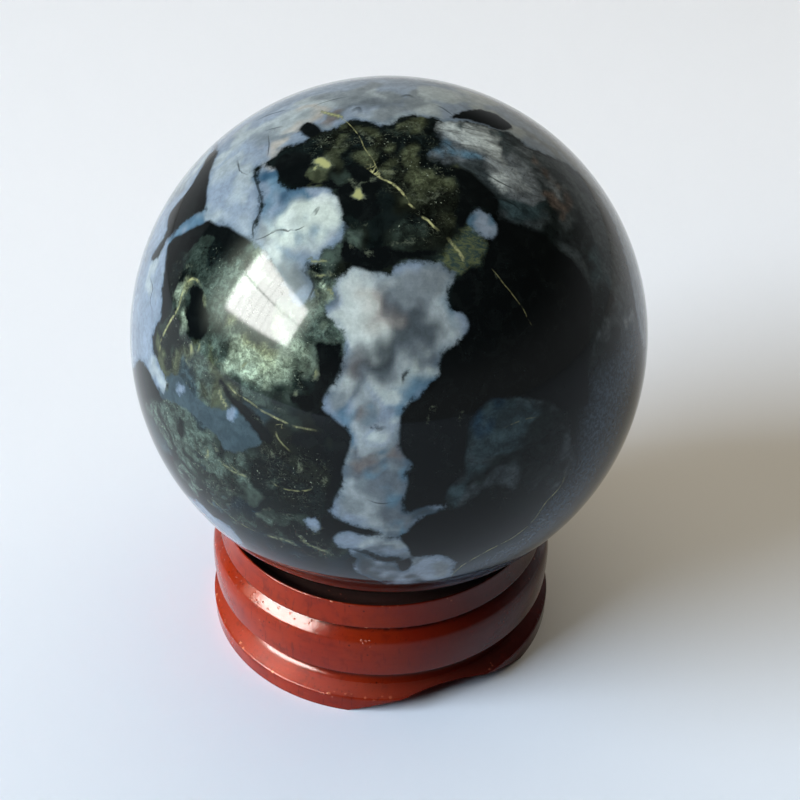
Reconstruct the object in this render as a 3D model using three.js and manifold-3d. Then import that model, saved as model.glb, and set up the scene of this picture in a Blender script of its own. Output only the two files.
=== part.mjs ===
// Polished stone ball resting on a low turned wooden stand.
//
// Frame: millimetres, +Z up. The origin is on the table, right under the ball's
// centre. -Y is the front, +X is to the right.
//
// Two loose pieces: the ball, and the stand that it rests on. The stand is one
// turned piece of wood: a shallow dish for the ball, a collar, a rounded band, a
// neck and a foot flange. One wide, low arch is cut right through its underside,
// which leaves two feet.

import * as THREE from 'three';
import { mergeVertices } from 'three/addons/utils/BufferGeometryUtils.js';
import Module from 'manifold-3d';

// ------------------------------------------------------- driving dimensions

// ball
const BALL_RADIUS = 20;
const BALL_CENTRE_HEIGHT = 26.86;
const BALL_SECTORS = 60;
const BALL_RINGS = 30;

// stand, turned outside (radius and height pairs)
const STAND_SHIFT_X = -0.54;        // the turned outside is this far off the seat and the ball
const STAND_SECTORS = 72;
const LIP = { r: 13.45, z: 10.72 };          // sharp top edge of the collar
const COLLAR_FOOT = { r: 13.77, z: 8.62 };   // lower edge of the collar, above the fine groove
const GROOVE = { r: 13.42, z: 8.42 };        // bottom of the fine groove
const SHOULDER = { r: 14.16, z: 7.62 };      // end of the band's sloping top
const BAND_RADIUS = 14.5;                    // widest part of the band
const BAND_WIDEST_Z = 6.1;
const BAND_FOOT = { r: 14.42, z: 4.02 };     // lower edge of the band
const BAND_EDGE_ROUND = 0.16;
const NECK = { r: 13.1, top: 3.66, bottom: 2.92 };
const FLANGE_TOP = { r: 14.56, z: 1.56 };    // where the sloping top turns over into the rim
const RIM = { r: 14.73, z: 1.35 };
const FOOT_RADIUS = 14.7;
const COVE = { r: 13.2, z: 2.45 };           // corner of the small cove between the neck and the flange's top
const COVE_END = { r: 13.62, z: 2.18 };      // outer end of that cove, where the straight slope starts

// stand, dish around the seat
const DISH = { r: 11.6, z: 8.9 };                  // flat floor of the dish, out to the foot of its wall
const DISH_FILLET = 0.7;
const LIP_LAND = 0.14;                             // narrow rounded land along the lip

// stand, conical seat that holds the ball, sunk in the dish's floor
const SEAT_ANGLE = THREE.MathUtils.degToRad(16);   // slope of the seat's cone
const SEAT_GAP = 0.12;                             // clearance between the cone and the ball
const POCKET = { r: 2.2, z: 5.9 };                 // turner's centre pocket, under the ball

// stand, arch through the underside
const ARCH_TURN = THREE.MathUtils.degToRad(22.7);   // the arch faces this far to the right of the front
const ARCH_HALF_WIDTH = 7.8;
const ARCH_HEIGHT = 1.84;
const ARCH_STEPS = 22;

// ------------------------------------------------------------------ helpers

// points from a to b along a parabola that stands off the chord by sag at its middle,
// to the left of the direction of travel where sag is positive
function bow(a, b, sag, steps) {
  const points = [];
  const length = Math.hypot(b.x - a.x, b.y - a.y);
  const nx = -(b.y - a.y) / length;
  const ny = (b.x - a.x) / length;
  for (let i = 1; i <= steps; i++) {
    const t = i / steps;
    const off = 4 * sag * t * (1 - t);
    points.push(new THREE.Vector2(a.x + (b.x - a.x) * t + nx * off, a.y + (b.y - a.y) * t + ny * off));
  }
  return points;
}

// points of a curve that leaves a towards control and reaches b coming from it
function turn(a, control, b, steps) {
  const curve = new THREE.QuadraticBezierCurve(a, control, b);
  return curve.getPoints(steps).slice(1);
}

const point = (r, z) => new THREE.Vector2(r, z);

function toManifold(wasm, geometry) {
  const bare = geometry.index ? geometry.toNonIndexed() : geometry.clone();
  bare.deleteAttribute('normal');
  bare.deleteAttribute('uv');
  const merged = mergeVertices(bare, 1e-4);
  const position = merged.attributes.position.array;
  const index = merged.index.array;
  const triangles = [];
  for (let i = 0; i < index.length; i += 3) {
    const [a, b, c] = [index[i], index[i + 1], index[i + 2]];
    if (a !== b && b !== c && c !== a) triangles.push(a, b, c);
  }
  return new wasm.Manifold(new wasm.Mesh({
    numProp: 3,
    vertProperties: new Float32Array(position),
    triVerts: new Uint32Array(triangles),
  }));
}

function fromManifold(solid) {
  const mesh = solid.getMesh();
  const geometry = new THREE.BufferGeometry();
  geometry.setAttribute('position', new THREE.BufferAttribute(new Float32Array(mesh.vertProperties), 3));
  geometry.setIndex(new THREE.BufferAttribute(new Uint32Array(mesh.triVerts), 1));
  geometry.computeVertexNormals();
  return geometry;
}

// ---------------------------------------------------------------- the stand

// outline of the turned stand, from the axis at the top round to the axis at the bottom
function standOutline() {
  // flat floor, a fillet into the wall, then up to the lip
  const corner = point(DISH.r, DISH.z);
  const lipInner = point(LIP.r - LIP_LAND, LIP.z - 0.03);
  const wallLength = Math.hypot(lipInner.x - corner.x, lipInner.y - corner.y);
  const before = point(DISH.r - DISH_FILLET, DISH.z);
  const after = corner.clone().lerp(lipInner, DISH_FILLET / wallLength);
  const outline = [point(0, DISH.z), before, ...turn(before, corner, after, 3), lipInner];

  // lip and collar
  outline.push(point(LIP.r - LIP_LAND * 0.4, LIP.z), point(LIP.r, LIP.z - 0.06));
  outline.push(...bow(outline.at(-1), point(COLLAR_FOOT.r, COLLAR_FOOT.z + 0.05), -0.04, 3));

  // fine groove under the collar
  outline.push(point(COLLAR_FOOT.r - 0.02, COLLAR_FOOT.z - 0.03), point(GROOVE.r, GROOVE.z));

  // band: sloping top, rounded side
  const bandTop = point(GROOVE.r, GROOVE.z);
  const shoulder = point(SHOULDER.r, SHOULDER.z);
  outline.push(...bow(bandTop, shoulder, 0.02, 2));
  const widest = point(BAND_RADIUS, BAND_WIDEST_Z);
  outline.push(...turn(shoulder, point(BAND_RADIUS, SHOULDER.z - 0.34), widest, 4));
  const footAbove = point(BAND_FOOT.r, BAND_FOOT.z + BAND_EDGE_ROUND);
  outline.push(...bow(widest, footAbove, 0.03, 3));
  outline.push(...turn(footAbove, point(BAND_FOOT.r, BAND_FOOT.z), point(BAND_FOOT.r - BAND_EDGE_ROUND, BAND_FOOT.z - 0.05), 2));

  // neck
  outline.push(point(NECK.r, NECK.top), point(NECK.r, NECK.bottom));

  // foot flange
  outline.push(...turn(point(NECK.r, NECK.bottom), point(COVE.r, COVE.z), point(COVE_END.r, COVE_END.z), 4));
  outline.push(point(FLANGE_TOP.r, FLANGE_TOP.z));
  outline.push(...turn(point(FLANGE_TOP.r, FLANGE_TOP.z), point(RIM.r, RIM.z + 0.13), point(RIM.r, RIM.z), 2));
  outline.push(point(FOOT_RADIUS, 0), point(0, 0));
  return outline;
}

// cone that the ball rests in, with a small pocket at its middle
function seatCutter() {
  // the cone touches a ball of BALL_RADIUS + SEAT_GAP along one ring
  const ringR = (BALL_RADIUS + SEAT_GAP) * Math.sin(SEAT_ANGLE);
  const ringZ = BALL_CENTRE_HEIGHT - (BALL_RADIUS + SEAT_GAP) * Math.cos(SEAT_ANGLE);
  const coneZ = (r) => ringZ + (r - ringR) * Math.tan(SEAT_ANGLE);
  const above = DISH.z + 0.6;
  const topR = ringR + (above - ringZ) / Math.tan(SEAT_ANGLE);
  const outline = [
    point(0, above), point(topR, above), point(ringR, ringZ),
    point(POCKET.r, coneZ(POCKET.r)), point(POCKET.r - 0.25, POCKET.z), point(0, POCKET.z),
  ];
  const cutter = new THREE.LatheGeometry(outline.reverse(), STAND_SECTORS);
  cutter.rotateX(Math.PI / 2);
  cutter.translate(-STAND_SHIFT_X, 0, 0);
  return cutter;
}

// wide, low arch, drawn across the stand and pushed right through it
function archCutter() {
  const radius = (ARCH_HALF_WIDTH ** 2 + ARCH_HEIGHT ** 2) / (2 * ARCH_HEIGHT);
  const centreZ = ARCH_HEIGHT - radius;
  const below = -1;
  const end = Math.acos((below - centreZ) / radius);
  const shape = new THREE.Shape();
  for (let i = 0; i <= ARCH_STEPS; i++) {
    const a = -end + (2 * end * i) / ARCH_STEPS;
    const x = radius * Math.sin(a);
    const z = centreZ + radius * Math.cos(a);
    if (i === 0) shape.moveTo(x, z);
    else shape.lineTo(x, z);
  }
  shape.closePath();
  const depth = 4 * FOOT_RADIUS;
  const cutter = new THREE.ExtrudeGeometry(shape, { depth, bevelEnabled: false, steps: 1 });
  cutter.translate(0, 0, -depth / 2);
  cutter.rotateX(Math.PI / 2);
  cutter.rotateZ(ARCH_TURN);
  return cutter;
}

const wasm = await Module();
wasm.setup();

// the outline runs clockwise seen with the radius to the right, so it is turned over
// to make the lathe's faces point outwards
const turned = new THREE.LatheGeometry(standOutline().reverse(), STAND_SECTORS);
turned.rotateX(Math.PI / 2);
const standSolid = toManifold(wasm, turned)
  .subtract(toManifold(wasm, seatCutter()))
  .subtract(toManifold(wasm, archCutter()));

const wood = new THREE.MeshStandardMaterial({ name: 'lacquered wood', color: 0x7e2415, roughness: 0.28, metalness: 0 });
const woodenStand = new THREE.Mesh(fromManifold(standSolid), wood);
woodenStand.name = 'wooden_stand';
woodenStand.position.x = STAND_SHIFT_X;

// ----------------------------------------------------------------- the ball

const ballGeometry = new THREE.SphereGeometry(BALL_RADIUS, BALL_SECTORS, BALL_RINGS);
ballGeometry.rotateX(Math.PI / 2);
const stone = new THREE.MeshStandardMaterial({ name: 'polished stone', color: 0x3a4650, roughness: 0.06, metalness: 0 });
const stoneBall = new THREE.Mesh(ballGeometry, stone);
stoneBall.name = 'stone_ball';
stoneBall.position.z = BALL_CENTRE_HEIGHT;

// ------------------------------------------------------------------- result

const group = new THREE.Group();
group.name = 'stone_ball_on_stand';
group.add(woodenStand, stoneBall);

export default group;
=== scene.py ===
import math

import bmesh
import bpy
import numpy as np
from mathutils import Matrix, Vector


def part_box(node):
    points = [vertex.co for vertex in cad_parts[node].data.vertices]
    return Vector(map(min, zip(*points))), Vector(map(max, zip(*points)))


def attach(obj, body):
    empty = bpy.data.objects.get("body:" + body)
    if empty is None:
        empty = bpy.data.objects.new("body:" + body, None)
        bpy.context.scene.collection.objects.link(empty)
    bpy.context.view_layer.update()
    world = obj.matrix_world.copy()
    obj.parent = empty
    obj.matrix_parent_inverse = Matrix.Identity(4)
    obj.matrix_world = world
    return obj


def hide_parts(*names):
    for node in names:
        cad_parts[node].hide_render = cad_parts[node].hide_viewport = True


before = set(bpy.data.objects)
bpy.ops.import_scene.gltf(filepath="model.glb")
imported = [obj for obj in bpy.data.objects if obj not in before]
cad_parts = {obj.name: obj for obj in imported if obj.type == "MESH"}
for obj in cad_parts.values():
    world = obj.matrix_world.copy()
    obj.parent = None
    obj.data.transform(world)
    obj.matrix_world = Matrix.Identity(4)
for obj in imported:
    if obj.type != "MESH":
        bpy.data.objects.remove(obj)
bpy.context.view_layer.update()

BALL_LOW, BALL_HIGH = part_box("stone_ball")
STAND_LOW, STAND_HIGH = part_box("wooden_stand")
BALL_C = (BALL_LOW + BALL_HIGH) / 2
BALL_R = (BALL_HIGH.z - BALL_LOW.z) / 2
MM = 0.001

# The stone's markings are named outlines in degrees on the ball: longitude from the
# front (-Y) towards +X, and latitude up from the equator.
LIGHT = {
    "centre": [(-11.5, 44.5), (-10.5, 45.5), (-8, 46), (-5.5, 45.5), (-2.5, 45.5), (0.5, 45.5), (2, 46.5), (4.5, 47.5), (7.5, 47.5), (11.5, 47), (14.5, 47), (16.5, 45.5), (18, 44.5), (16.5, 42.5), (15.5, 41.5), (15, 40), (15, 38.5), (16, 37.5), (17.5, 37), (18.5, 36), (19, 34.5), (18, 33.5), (16.5, 32), (14, 31), (12.5, 30.5), (11.5, 29), (11, 27.5), (11, 26), (10, 25), (8.5, 24), (6.5, 22), (5, 21.5), (4, 20.5), (3, 19), (3, 17), (2.5, 14), (3, 12), (3.5, 10.5), (5, 9), (5, 8), (4, 6.5), (4.5, 4.5), (4, 1.5), (3.5, -1), (4, -2.5), (5.5, -2.5), (8, -1.5), (10, -1.5), (11.5, -1.5), (11, -2.5), (9, -3.5), (7, -4.5), (5.5, -6.5), (4, -8.5), (2.5, -9.5), (0.5, -9.5), (-1.5, -8), (-4.5, -7.5), (-7, -6.5), (-8.5, -6), (-9.5, -5), (-10.5, -3.5), (-10, -2), (-9, 0.5), (-8.5, 2.5), (-8, 4.5), (-8, 7), (-7.5, 9.5), (-7, 11.5), (-6.5, 13.5), (-6.5, 14.5), (-7.5, 16), (-9, 16.5), (-11, 18), (-12.5, 19), (-12.5, 20), (-12, 22), (-10.5, 24), (-9.5, 26), (-9.5, 28), (-9, 29.5), (-9, 31.5), (-9.5, 33.5), (-11.5, 35), (-13.5, 36.5), (-14, 38.5), (-13.5, 40), (-13.5, 41.5), (-13, 43)],
    "tongue": [(-10.5, -11.5), (-9, -9.5), (-7, -8.5), (-4.5, -9.5), (-2, -9.5), (1, -10), (3.5, -11), (5, -13.5), (5.5, -16.5), (4, -18), (2, -16.5), (-1, -16.5), (-4, -15), (-7, -14.5), (-9.5, -14)],
    "under_tongue": [(-7, -14.5), (-4.5, -15.5), (-2, -17), (0.5, -18.5), (2.5, -19), (4.5, -23), (6, -20.5), (5.5, -17.5), (8.5, -17), (11.5, -17), (13.5, -18.5), (15.5, -20.5), (15.5, -24), (15.5, -29), (11, -30), (6, -31), (0, -30), (-4, -26.5), (-6.5, -22.5), (-6, -18.5)],
    "small_low": [(-16, -7.5), (-14.5, -6.5), (-13.5, -6.5), (-13, -8), (-13.5, -10), (-14.5, -10), (-15.5, -9)],
    "upper_left": [(-59, 59.5), (-55, 60.5), (-50.5, 60.5), (-46.5, 59), (-42.5, 58.5), (-38.5, 58.5), (-34.5, 59.5), (-29.5, 60.5), (-25.5, 61), (-22.5, 60.5), (-19.5, 59.5), (-17, 57.5), (-15.5, 55.5), (-14, 53.5), (-14, 51), (-16, 49.5), (-18, 49), (-19, 48), (-19, 46.5), (-20.5, 46), (-22, 45), (-20, 42.5), (-18.5, 40.5), (-19.5, 38.5), (-21.5, 38), (-25, 39.5), (-29.5, 42.5), (-34, 44.5), (-38, 45.5), (-40, 46), (-42, 48), (-42.5, 49.5), (-43.5, 51.5), (-45, 53.5), (-48.5, 55), (-53, 56.5), (-57, 57.5)],
    "cap": [(-64.5, 45.5), (-69, 46.5), (-73, 48), (-78.5, 49), (-83, 50.5), (-90.5, 51.5), (-102, 48), (-118, 37), (-142, 12), (-159, 4), (-167.5, 11), (179.5, 9.5), (169, 4.5), (160, -4), (154, -10), (142, -9.5), (114, -6.5), (99.5, -10.5), (78, 0), (71, 12.5), (72, 21.5), (77, 29), (83, 36), (87.5, 43), (87, 51), (80.5, 58), (79.5, 61.5), (81.5, 64.5), (79, 67.5), (75, 71.5), (68.5, 74.5), (58.5, 77), (53.5, 77.5), (56.5, 79), (45, 80.5), (32.5, 82.5), (12.5, 82), (-1, 80), (-11.5, 79), (-20, 80), (-33.5, 79.5), (-44.5, 78.5), (-47.5, 76.5), (-49, 74), (-53, 73), (-59.5, 73), (-66.5, 72.5), (-70, 71.5), (-68, 70.5), (-61, 70), (-54.5, 70), (-55.5, 68.5), (-58.5, 66.5), (-60, 64.5), (-59.5, 63), (-59, 61.5), (-61, 60), (-61.5, 58.5), (-60.5, 57.5), (-55.5, 56.5), (-51, 55.5), (-46.5, 53.5), (-44, 51), (-43.5, 49), (-42.5, 47.5), (-41, 46), (-44, 46), (-48, 46), (-51.5, 46), (-55.5, 45), (-59.5, 44.5)],
    "wedge": [(-71, 35.5), (-70.5, 38.5), (-68.5, 41.5), (-66, 44), (-64.5, 46), (-59, 44.5), (-61.5, 43), (-64.5, 40.5), (-67, 38)],
    "left_band": [(-70, 33.5), (-67, 32), (-64.5, 29.5), (-62.5, 27), (-60.5, 24.5), (-59.5, 22), (-60.5, 19.5), (-60.5, 18), (-59.5, 16), (-58, 14.5), (-55.5, 13.5), (-53.5, 12.5), (-52, 11.5), (-52, 10), (-53.5, 8.5), (-56, 8.5), (-58, 9), (-61, 10), (-66, 8.5), (-71.5, 3), (-88, -8.5), (-106, -10), (-117, -4.5), (-121.5, 4.5), (-127, 12), (-109, 24.5), (-94.5, 31.5), (-83.5, 35), (-77, 35.5), (-75, 32), (-76, 28), (-72, 30), (-72, 34.5), (-71, 36), (-69.5, 35)],
    "left_rim_high": [(-100, 48.5), (-93.5, 48), (-86.5, 46.5), (-81.5, 44.5), (-79.5, 42), (-81.5, 39), (-80.5, 36.5), (-78, 34), (-78, 31.5), (-97.5, 22.5), (-112.5, 19.5), (-123, 24), (-126, 31)],
    "dot": [(-48, 12), (-47, 13), (-46, 13), (-45.5, 12.5), (-46.5, 11.5), (-48, 11), (-48, 11.5)],
    "triangle": [(-33, 12), (-33, 13), (-32, 14.5), (-30.5, 14.5), (-31, 13.5), (-32, 12)],
    "low_left_rim": [(-47, -17.5), (-42.5, -19.5), (-37.5, -20), (-36, -23.5), (-36.5, -29.5), (-36, -33), (-34.5, -36), (-53.5, -53.5), (-61, -47), (-64.5, -35), (-61, -26.5)],
    "blue_spot": [(28.5, 55), (31, 56), (33.5, 55), (35, 53.5), (35, 51.5), (33.5, 50), (31, 49.5), (29, 50), (28, 51), (26.5, 52.5), (25.5, 54)],
}
BAND = {
    "band": [(13, 47), (16, 48.5), (18, 50), (21, 51), (23.5, 52.5), (26, 53.5), (28, 51.5), (29.5, 49.5), (29, 48), (27, 46.5), (25.5, 45), (23.5, 45), (21.5, 45), (19.5, 44), (17.5, 44), (15.5, 45.5)],
}
SMOKE = {
    "upper_right": [(48.5, 77), (62, 76), (72.5, 72), (78, 67.5), (79.5, 64), (78.5, 60), (85.5, 53), (87, 44), (82.5, 36.5), (76, 29), (71, 22), (66.5, 15), (61, 8.5), (55, 6.5), (49, 10.5), (47, 15.5), (49, 22.5), (52.5, 28.5), (54.5, 31.5), (55, 33.5), (54, 36.5), (53, 39.5), (51, 42), (49.5, 45.5), (48, 47), (45, 49), (42, 50.5), (39, 52), (37.5, 53.5), (40.5, 55.5), (41.5, 57), (41, 58.5), (40, 60.5), (39.5, 62), (38, 64), (34, 66), (29.5, 67.5), (26, 69), (23.5, 70), (26.5, 71), (33.5, 71.5), (39, 74)],
    "blue_window": [(22, 20), (24.5, 19.5), (28, 19), (31.5, 17.5), (34.5, 16), (37, 13.5), (38.5, 9.5), (39.5, 5), (40.5, 0), (39.5, -3.5), (37, -5.5), (33, -5.5), (27.5, -2.5), (23, 1.5), (19.5, 1), (16.5, -1), (14, -2), (12.5, -0.5), (12.5, 2), (14, 3.5), (15.5, 5), (16, 7), (15.5, 9.5), (16, 11.5), (16.5, 13.5), (17, 16), (18, 17.5), (20, 19)],
}
RIM_BAND = {
    "right_low": [(47, 15), (51, 15.5), (57.5, 16), (63, 17), (68.5, 18.5), (87, 5), (91, -14.5), (86, -26.5), (81.5, -42), (75.5, -55), (57.5, -64), (22, -58.5), (14.5, -47), (14, -34.5), (16, -28.5), (20, -25.5), (25, -21.5), (30.5, -18.5), (33.5, -14.5), (35.5, -9.5), (38.5, -7.5), (41.5, -5), (43, 0), (44, 6), (45.5, 10.5)],
}
BLACK = {
    "top_leaf": [(66.5, 77), (80, 76), (91.5, 73.5), (97.5, 70.5), (97.5, 68), (94, 66), (87.5, 64.5), (81.5, 66), (79, 68), (77.5, 70.5), (74.5, 73), (70, 75.5)],
    "big_right": [(22, 45), (25.5, 44.5), (27.5, 46.5), (29.5, 48), (31.5, 49), (34, 50), (35.5, 51.5), (38, 53), (39, 52), (41.5, 50.5), (44.5, 48.5), (48, 47), (49.5, 45), (51, 42), (53, 39.5), (54, 36.5), (54.5, 33.5), (54, 31.5), (52, 28.5), (49.5, 25.5), (47.5, 22), (46, 18), (46, 15), (45, 11.5), (41, 12), (37, 13.5), (34.5, 16), (31.5, 17.5), (28, 19), (24.5, 19.5), (21.5, 20), (20, 19), (18, 18), (16.5, 16), (16, 13.5), (16, 11), (15.5, 9), (15.5, 7), (15, 5), (13, 3.5), (12, 2), (11.5, 0), (9, -1), (5.5, -2), (4.5, -1.5), (4, 1.5), (4.5, 4.5), (4.5, 6.5), (5.5, 8), (5, 9.5), (3.5, 11), (3, 12.5), (3, 14.5), (3, 18), (4, 19.5), (5.5, 21), (7, 22), (9, 23.5), (10.5, 25), (11.5, 26), (11.5, 28), (12, 29.5), (14, 30.5), (16.5, 31.5), (18.5, 33.5), (19, 34.5), (18.5, 36.5), (17, 37.5), (15.5, 38.5), (15.5, 40), (16.5, 42), (18, 43.5), (20, 44)],
    "neck": [(29, 67), (33.5, 65.5), (37.5, 64), (38.5, 62), (39.5, 60), (40.5, 58), (41, 56.5), (39.5, 55), (36.5, 53.5), (35, 54.5), (33.5, 56), (30.5, 56.5), (27, 55), (24.5, 53), (22.5, 53.5), (24, 56), (27.5, 59.5), (29.5, 62.5), (30, 65.5)],
    "keyhole_head": [(-51, 27), (-51, 28.5), (-48, 30), (-45, 30.5), (-43.5, 29.5), (-42.5, 27.5), (-43, 25.5), (-45, 24), (-47.5, 24), (-49.5, 25.5)],
    "keyhole_neck": [(-53, 32), (-50.5, 33.5), (-48, 33), (-47, 31.5), (-45.5, 30), (-47.5, 29), (-50.5, 28.5), (-51, 30), (-52.5, 31)],
    "dark_band": [(-36.5, 18.5), (-35.5, 19.5), (-34, 18), (-32.5, 17), (-29.5, 16), (-27, 15), (-25, 13.5), (-22.5, 11), (-24.5, 9.5), (-26.5, 11.5), (-28.5, 13), (-31, 14.5), (-33.5, 16), (-35, 17)],
    "left_leaf": [(-91.5, 50.5), (-84, 49.5), (-77.5, 49), (-72, 47.5), (-67.5, 46.5), (-66.5, 45), (-69, 42.5), (-71.5, 40), (-72, 37.5), (-72.5, 36), (-77, 35.5), (-81.5, 36.5), (-81.5, 39), (-82, 42.5), (-84, 45), (-89, 47.5), (-92.5, 49)],
    "top_blob": [(-67.5, 70), (-71, 72), (-66, 73), (-56, 73), (-52.5, 72), (-53, 70.5), (-58.5, 70)],
    "edge_strip": [(-15.5, 31), (-12.5, 31.5), (-10, 31.5), (-9.5, 29), (-10, 27), (-11.5, 24), (-12.5, 22), (-13, 20), (-12.5, 18.5), (-10, 17), (-8, 15.5), (-7, 14), (-7, 11.5), (-8, 9), (-8.5, 6.5), (-9, 3), (-10, 0), (-11, -3), (-11.5, 0), (-10.5, 4.5), (-10.5, 8.5), (-10, 12), (-11, 14), (-13, 15.5), (-14.5, 17.5), (-15.5, 20.5), (-14.5, 23), (-14.5, 26.5)],
    "strip_low": [(-12.5, -5), (-10.5, -5.5), (-8.5, -6), (-6.5, -7), (-3.5, -8), (-1.5, -8.5), (-1.5, -9), (-4.5, -9), (-7, -8.5), (-9, -9), (-11, -11.5), (-12.5, -10)],
    "hidden_dark": [(-19.5, 20.5), (-13.5, 21), (-14, 18), (-17, 18.5)],
    "dark_pocket": [(-18, 13), (-13.5, 14), (-12.5, 12.5), (-14, 11), (-17.5, 10.5), (-18.5, 11.5)],
    "low_dark": [(4, -10), (6, -7), (8, -4.5), (11.5, -3.5), (17, -3.5), (23.5, -6.5), (31.5, -12.5), (30.5, -16), (25.5, -17), (20.5, -18), (16.5, -18.5), (13, -17.5), (9.5, -16), (6, -16.5), (5, -13.5), (3.5, -11)],
    "spot_a": [(-3, 16.5), (-2, 17), (-1, 17), (-1, 16), (-2.5, 16)],
    "spot_b": [(3.5, 25.5), (3.5, 26.5), (4.5, 27), (4, 26)],
    "spot_c": [(3, -20.5), (4, -18), (5.5, -17.5), (5.5, -20.5), (4, -23)],
    "streak_low": [(-3, -16), (-1, -17), (1.5, -18), (0.5, -18.5), (-2, -18)],
    "left_top_edge": [(-70, 34), (-69, 36.5), (-67, 38), (-64.5, 40.5), (-62, 42.5), (-60, 44.5), (-55, 45), (-51.5, 46), (-47.5, 46), (-43, 46), (-40.5, 45.5), (-42, 44.5), (-46, 43), (-50, 42.5), (-54.5, 42.5), (-58, 41.5), (-59, 39.5), (-60, 37), (-63, 34.5), (-62.5, 31.5), (-59.5, 28.5), (-57.5, 25), (-57.5, 22), (-60.5, 25.5), (-64.5, 29.5), (-67.5, 32)],
    "centre_top": [(-55.5, 61.5), (-56.5, 63.5), (-52, 66), (-43, 66.5), (-38, 65), (-37.5, 62.5), (-31, 61.5), (-25.5, 63), (-20.5, 62), (-16.5, 64.5), (-21.5, 66.5), (-15, 67.5), (-4.5, 66.5), (-1.5, 63.5), (-5, 61), (-3, 57.5), (-7.5, 55), (-13.5, 56.5), (-13.5, 54), (-11.5, 51), (-6.5, 49.5), (-1, 50.5), (3.5, 49.5), (9, 49.5), (15, 49.5), (11.5, 48), (4.5, 48), (1, 46.5), (-2.5, 45.5), (-6, 46), (-9.5, 46.5), (-12.5, 47), (-14, 50), (-13, 52.5), (-15, 56), (-18.5, 59), (-22, 61), (-29, 61), (-37, 59.5), (-43, 59), (-48.5, 60)],
}
GRAIN = {
    "left": [(-64, 34), (-59.5, 36.5), (-58, 39.5), (-56.5, 41.5), (-52, 42), (-47.5, 42), (-41, 44), (-35, 43.5), (-24.5, 40), (-19.5, 37.5), (-19, 40.5), (-21, 44.5), (-18, 46), (-12, 45.5), (-13.5, 41.5), (-14.5, 38.5), (-12, 36), (-10, 34), (-10, 31.5), (-15.5, 31), (-15, 27), (-15, 23), (-17.5, 23), (-20.5, 22.5), (-24.5, 20.5), (-25.5, 19), (-28, 16.5), (-31, 17), (-34, 19), (-36.5, 19.5), (-37.5, 13), (-40.5, 12), (-44.5, 14), (-48.5, 16), (-51.5, 13.5), (-55.5, 15.5), (-58, 18.5), (-56.5, 22.5), (-58.5, 29)],
    "low_left": [(-59, 6), (-52, 8), (-45, 10), (-40.5, 11), (-38.5, 9), (-36.5, 5.5), (-33.5, 4), (-27.5, 6.5), (-24.5, 4), (-27, -2), (-31, -5), (-32.5, -11), (-27.5, -12), (-22.5, -6.5), (-18, -6.5), (-16, -11), (-11.5, -14.5), (-11.5, -18), (-19, -21), (-28.5, -22), (-33.5, -19), (-40, -17), (-47.5, -14), (-54.5, -7.5), (-60.5, -3), (-61.5, 1.5)],
    "middle_low": [(-24.5, 9.5), (-21, 11.5), (-18.5, 9.5), (-13, 10.5), (-10.5, 8.5), (-10.5, 4.5), (-12, -2), (-17, -4.5), (-19, -2.5), (-22.5, -3), (-24.5, 0.5), (-23, 4.5), (-24.5, 6.5)],
    "top_centre": [(-58.5, 66), (-48.5, 71.5), (-42.5, 76.5), (-14.5, 77.5), (-1, 78.5), (28.5, 81.5), (47.5, 79), (33, 73.5), (21.5, 70), (28, 66.5), (29, 63), (26, 58.5), (20, 54.5), (15.5, 51), (9.5, 50.5), (3, 51.5), (1, 54.5), (7.5, 57), (5.5, 61), (-1.5, 63.5), (-9, 67.5), (-20.5, 67.5), (-32, 68), (-44, 67.5)],
}
SLATE = {
    "left": [(-52.5, 12), (-49, 14.5), (-45, 14), (-42.5, 13), (-39, 12.5), (-36, 12.5), (-33, 13.5), (-30, 13.5), (-28, 13.5), (-26, 12), (-24.5, 10.5), (-25.5, 8.5), (-27.5, 7), (-30.5, 5), (-33.5, 4.5), (-35.5, 7), (-39.5, 8), (-44.5, 9), (-50, 8), (-53.5, 7), (-55.5, 8.5), (-54, 8.5), (-51.5, 9.5), (-51, 11.5)],
    "notch": [(-11.5, 22.5), (-10, 24), (-9.5, 22), (-10.5, 20)],
}
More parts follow.
